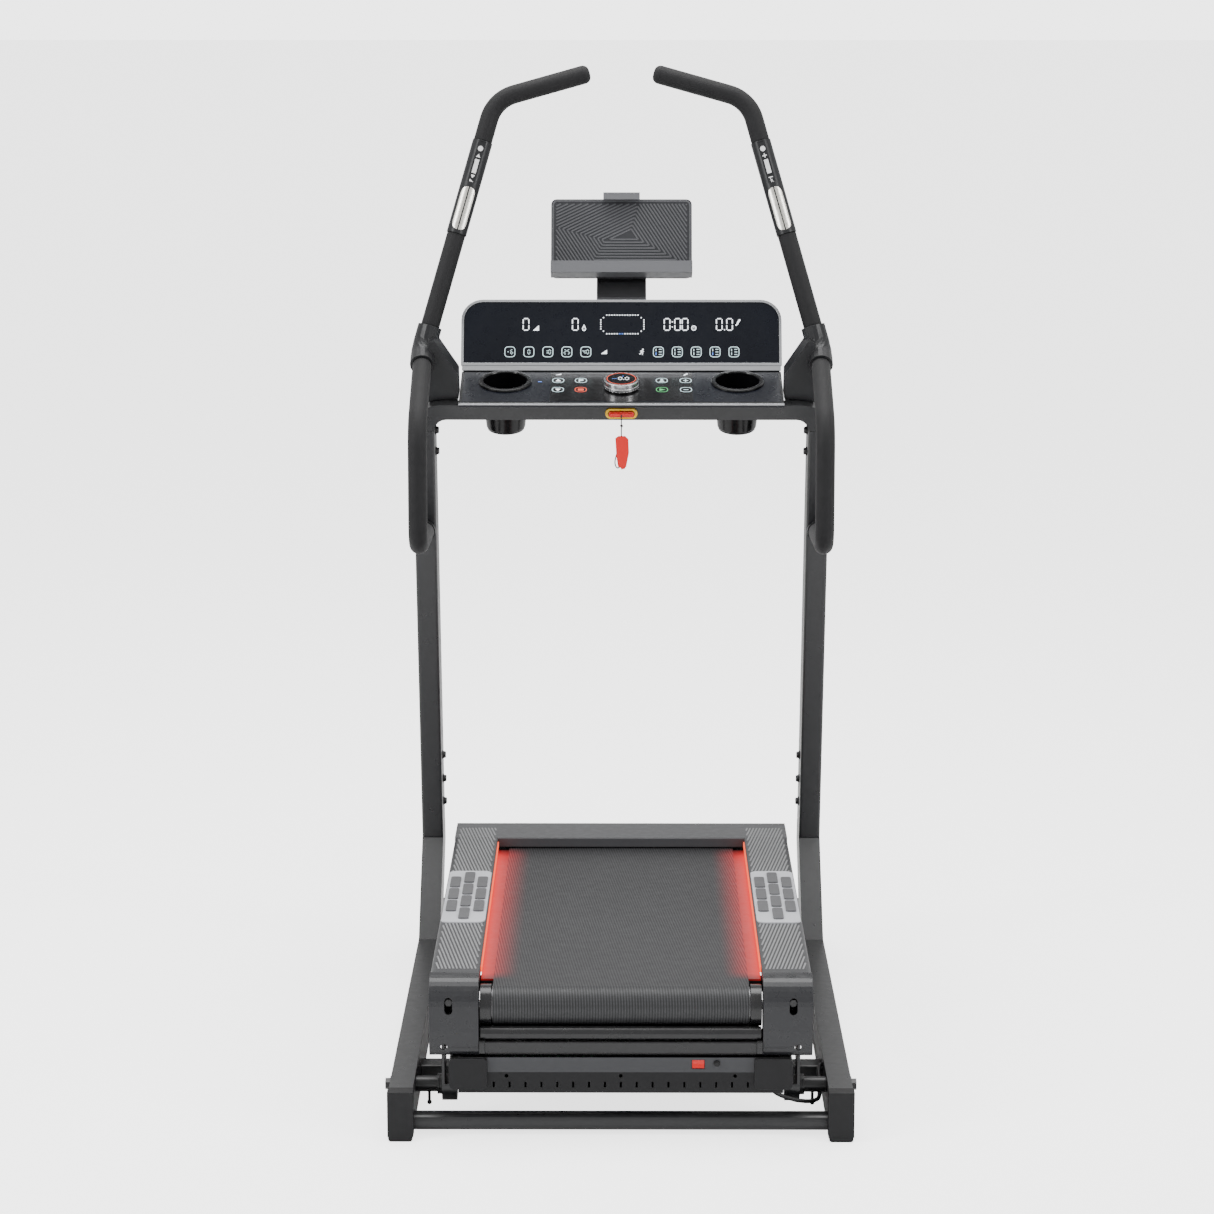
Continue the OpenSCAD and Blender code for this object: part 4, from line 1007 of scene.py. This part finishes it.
def make_tray_art():
    """The glossier middle window of the lower panel and its eight keys."""
    art = Artwork(TRAY)
    far = TRAY.height / MM - 2
    art.polygon("gloss", [(-130, 3), (130, 3), (130, far), (-130, far)])
    art.build("tray_window", "base")
    art = Artwork(TRAY, 0.2)
    for u, v, ink in PILLS:
        art.box_outline(ink, u, v, *PILL_KEY)
    for shape in TRAY_SHAPES:
        art.polygon(*shape)
    for stroke in TRAY_STROKES:
        art.strip(*stroke)
    art.disc("cyan", 74.2, 104, 2.6, 3.4)
    art.wedge("white", -116.5, 129, 11, 6)
    art.build("tray_art", "base")


def make_dial_face():
    """Red light ring and small digits on the fixed black face in the middle of the dial."""
    face = face_of("dial_base", JOINTS["dial_turn"]["axis"], highest=True)
    middle = face.height / MM / 2
    art = Artwork(face)
    art.ring("red", 0, middle, DIAL_LIGHT_RADIUS, DIAL_LIGHT_RADIUS, 1.3, 48)
    art.digits("white", "0.0", 4, middle + 1, 6, 12, 2.2, 1.6)
    art.strip("blue", [(-17, middle), (-8, middle)], 1.0)
    art.disc("blue", 3, middle + 12, 1.2)
    art.build("dial_art", "base")


def make_pod_art(side):
    """Printed symbols beside the rocker and key of a control pod."""
    name = side_name(side)
    out = -Vector(JOINTS[f"start_{name}_press"]["axis"]).normalized()
    corners, up_bar = bar_start()
    up_bar, foot = sided([up_bar, corners[2]], side)
    art = Artwork(Face(foot + (up_bar * POD_FROM + out * POD_FRONT) * MM, out.cross(up_bar), up_bar, out))
    if side > 0:
        for stroke in ([(0, 151), (0, 143)], [(-4, 147), (-0.9, 147)], [(0.9, 147), (4, 147)],
                       [(-4, 106), (4, 106)]):
            art.strip("print", stroke, 1.7)
        art.runner("print", 0, 100, 8)
    else:
        art.polygon("print", [(-3.8, 143.5), (3.8, 143.5), (0, 150)])
        art.polygon("print", [(-3.8, 110), (0, 103.5), (3.8, 110)])
        art.wedge("print", 0, 99.5, 7.5, 4.5)
    art.build(f"pod_print_{name}", "base")


# ---- tablet plate ribs ----
TABLET_EDGE = (-122, 122, 6, TABLET.height / MM - 9)
RIB_PITCH = 5.6
RIB_WIDTH, RIB_HEIGHT = 2.5, 0.9
CLAMP_LOWEST, CLAMP_HALF_WIDTH = 108, 42
RIM_INSET, RIM_CORNER, RIM_WIDTH = 3.5, 8, 3


def clipped(start, end, edge):
    """The stretch of a straight line inside a rectangle (left, right, low, high), or None."""
    near, far = 0.0, 1.0
    for p, d, low, high in ((start[0], end[0] - start[0], edge[0], edge[1]),
                            (start[1], end[1] - start[1], edge[2], edge[3])):
        if abs(d) < 1e-9:
            if not low <= p <= high:
                return None
            continue
        t0, t1 = sorted(((low - p) / d, (high - p) / d))
        near, far = max(near, t0), min(far, t1)
    if far - near < 1e-3:
        return None
    return [(start[0] + (end[0] - start[0]) * t, start[1] + (end[1] - start[1]) * t) for t in (near, far)]


def crossing(line_a, line_b):
    """Where two lines, each a normal (x, y) and its distance, meet."""
    (a, b, c), (d, e, f) = line_a, line_b
    whole = a * e - b * d
    return ((c * e - b * f) / whole, (a * f - c * d) / whole)


def under_clamp(run):
    return min(p[1] for p in run) > CLAMP_LOWEST and max(abs(p[0]) for p in run) < CLAMP_HALF_WIDTH


def make_tablet_ribs():
    """Nested slanted ribs over the plate round a plain middle, inside a raised rim."""
    art = Artwork(TABLET, RIB_HEIGHT)
    rise, steep = math.radians(26), math.radians(57)
    leaning = (math.sin(steep), math.cos(steep))
    for k in range(-3, 20):
        out = RIB_PITCH * k
        upper = (-math.sin(rise), math.cos(rise), 78 + out)
        right = (*leaning, 74 + out)
        low = (0, -1, -40 + out)
        left = (-leaning[0], -leaning[1], 11 + out)
        corners = [crossing(upper, right), crossing(right, low)]
        if k < -2:
            corners.append(crossing(low, upper))
        else:
            corners += [crossing(low, left), crossing(left, upper)]
        for start, end in zip(corners, corners[1:] + corners[:1]):
            run = clipped(start, end, TABLET_EDGE)
            if run and not under_clamp(run):
                art.strip("rib", run, RIB_WIDTH)
    width, top = TABLET.width / MM, TABLET.height / MM
    art.box_outline("rib", 0, top / 2, width - 2 * RIM_INSET, top - 2 * RIM_INSET, RIM_CORNER, RIM_WIDTH)
    art.build("tablet_ribs", "base")


# ---- deck ----
COVER_PITCH, COVER_WIDTH, COVER_HEIGHT = 6.1 * MM, 3.3 * MM, 0.7 * MM
COVER_SUNK = 0.1 * MM
COVER_SHORTEST = 6 * MM
COVER_FACES = ((0, 1, 5, 4), (1, 2, 6, 5), (2, 3, 7, 6), (3, 0, 4, 7), (0, 3, 2, 1), (4, 5, 6, 7))
FORWARD_PER_OUT = 5.9


def make_cover_ribs(side):
    """Long ribs along the top of a side cover that lean outward as they run forward."""
    label = side_name(side)
    low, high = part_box(f"side_cover_{label}")
    pad_low, pad_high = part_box("footpad_plates")
    front_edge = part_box("front_cover")[1].y - 78 * MM
    rear_edge = low.y + 18 * MM
    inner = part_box("light_strips")[1].x + 5 * MM
    outer = max(-low.x, high.x) - 8 * MM
    section = [(share * COVER_WIDTH, high.z + lift) for share, lift in
               ((-0.5, -COVER_SUNK), (-0.25, COVER_HEIGHT), (0.25, COVER_HEIGHT), (0.5, -COVER_SUNK))]
    points, faces = [], []
    for y0, y1 in ((rear_edge, pad_low.y - 2 * MM), (pad_high.y + 2 * MM, front_edge)):
        reach = (y1 - y0) / FORWARD_PER_OUT
        x = inner - reach + COVER_PITCH / 2
        while x < outer:
            run = clipped((x, y0), (x + reach, y1), (inner, outer, y0, y1))
            if run and run[1][1] - run[0][1] > COVER_SHORTEST:
                base = len(points)
                points += [Vector((side * (u + offset), v, z)) for u, v in run for offset, z in section]
                faces += [tuple(base + k for k in face) for face in COVER_FACES]
            x += COVER_PITCH
    data = closed_mesh(f"cover_ribs_{label}", points, faces)
    ribs = add_piece(f"cover_ribs_{label}", data, "cover_rib", "deck", smooth=False)


# ---- pulse plates, with angles in degrees round the pod from its rearmost line ----
PLATE_INSIDE, PLATE_OUTSIDE = 18.5, 19.65
PLATE_LOW, PLATE_HIGH, PLATE_ROUND_END = 6, 87, 13
PLATE_GAP, PLATE_SPREAD = 3.5, 37
ROWS, COLUMNS = 40, 8


def make_pulse_pair(side):
    """Two half-oval contact plates round the front of a control pod."""
    label = side_name(side)
    corners, up_bar = bar_start()
    base = corners[2] + up_bar * POD_FROM * MM
    rearward = Vector((0, -1, 0))
    toward = (rearward - up_bar * up_bar.dot(rearward)).normalized()
    across = toward.cross(up_bar)
    points, faces = [], []
    stride = 2 * (COLUMNS + 1)
    for sign in (-1, 1):
        first = len(points)
        for r in range(ROWS + 1):
            z = PLATE_LOW + (PLATE_HIGH - PLATE_LOW) * (0.5 - 0.5 * math.cos(math.pi * r / ROWS))
            into = max(0.0, PLATE_ROUND_END - min(z - PLATE_LOW, PLATE_HIGH - z)) / PLATE_ROUND_END
            spread = PLATE_SPREAD * math.sqrt(max(0.0, 1 - into * into))
            for c in range(COLUMNS + 1):
                a = math.radians(sign * (PLATE_GAP + spread * c / COLUMNS))
                ray = toward * math.cos(a) + across * math.sin(a)
                for radius in (PLATE_INSIDE, PLATE_OUTSIDE):
                    points.append(base + (up_bar * z + ray * radius) * MM)
        for r in range(ROWS + 1):
            for c in range(COLUMNS + 1):
                p = first + r * stride + 2 * c
                if r < ROWS and c < COLUMNS:
                    faces += [(p, p + 2, p + stride + 2, p + stride),
                              (p + 1, p + stride + 1, p + stride + 3, p + 3)]
                if r < ROWS and c in (0, COLUMNS):
                    faces.append((p, p + stride, p + stride + 1, p + 1))
                if c < COLUMNS and r in (0, ROWS):
                    faces.append((p, p + 1, p + 3, p + 2))
    data = closed_mesh(f"pulse_pair_{label}", sided(points, side), faces, weld=1e-6)
    plates = add_piece(f"pulse_pair_{label}", data, "pulse", "base", smooth=False)
    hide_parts("pulse_plates")


make_camera()
make_lanyard()
make_console_cable()
make_studio()
finish_frame()
for hand in (-1, 1):
    make_handlebar(hand)
    make_cover_ribs(hand)
    make_pod_art(hand)
    make_pulse_pair(hand)
make_display()
make_tray_art()
make_dial_face()
make_tablet_ribs()
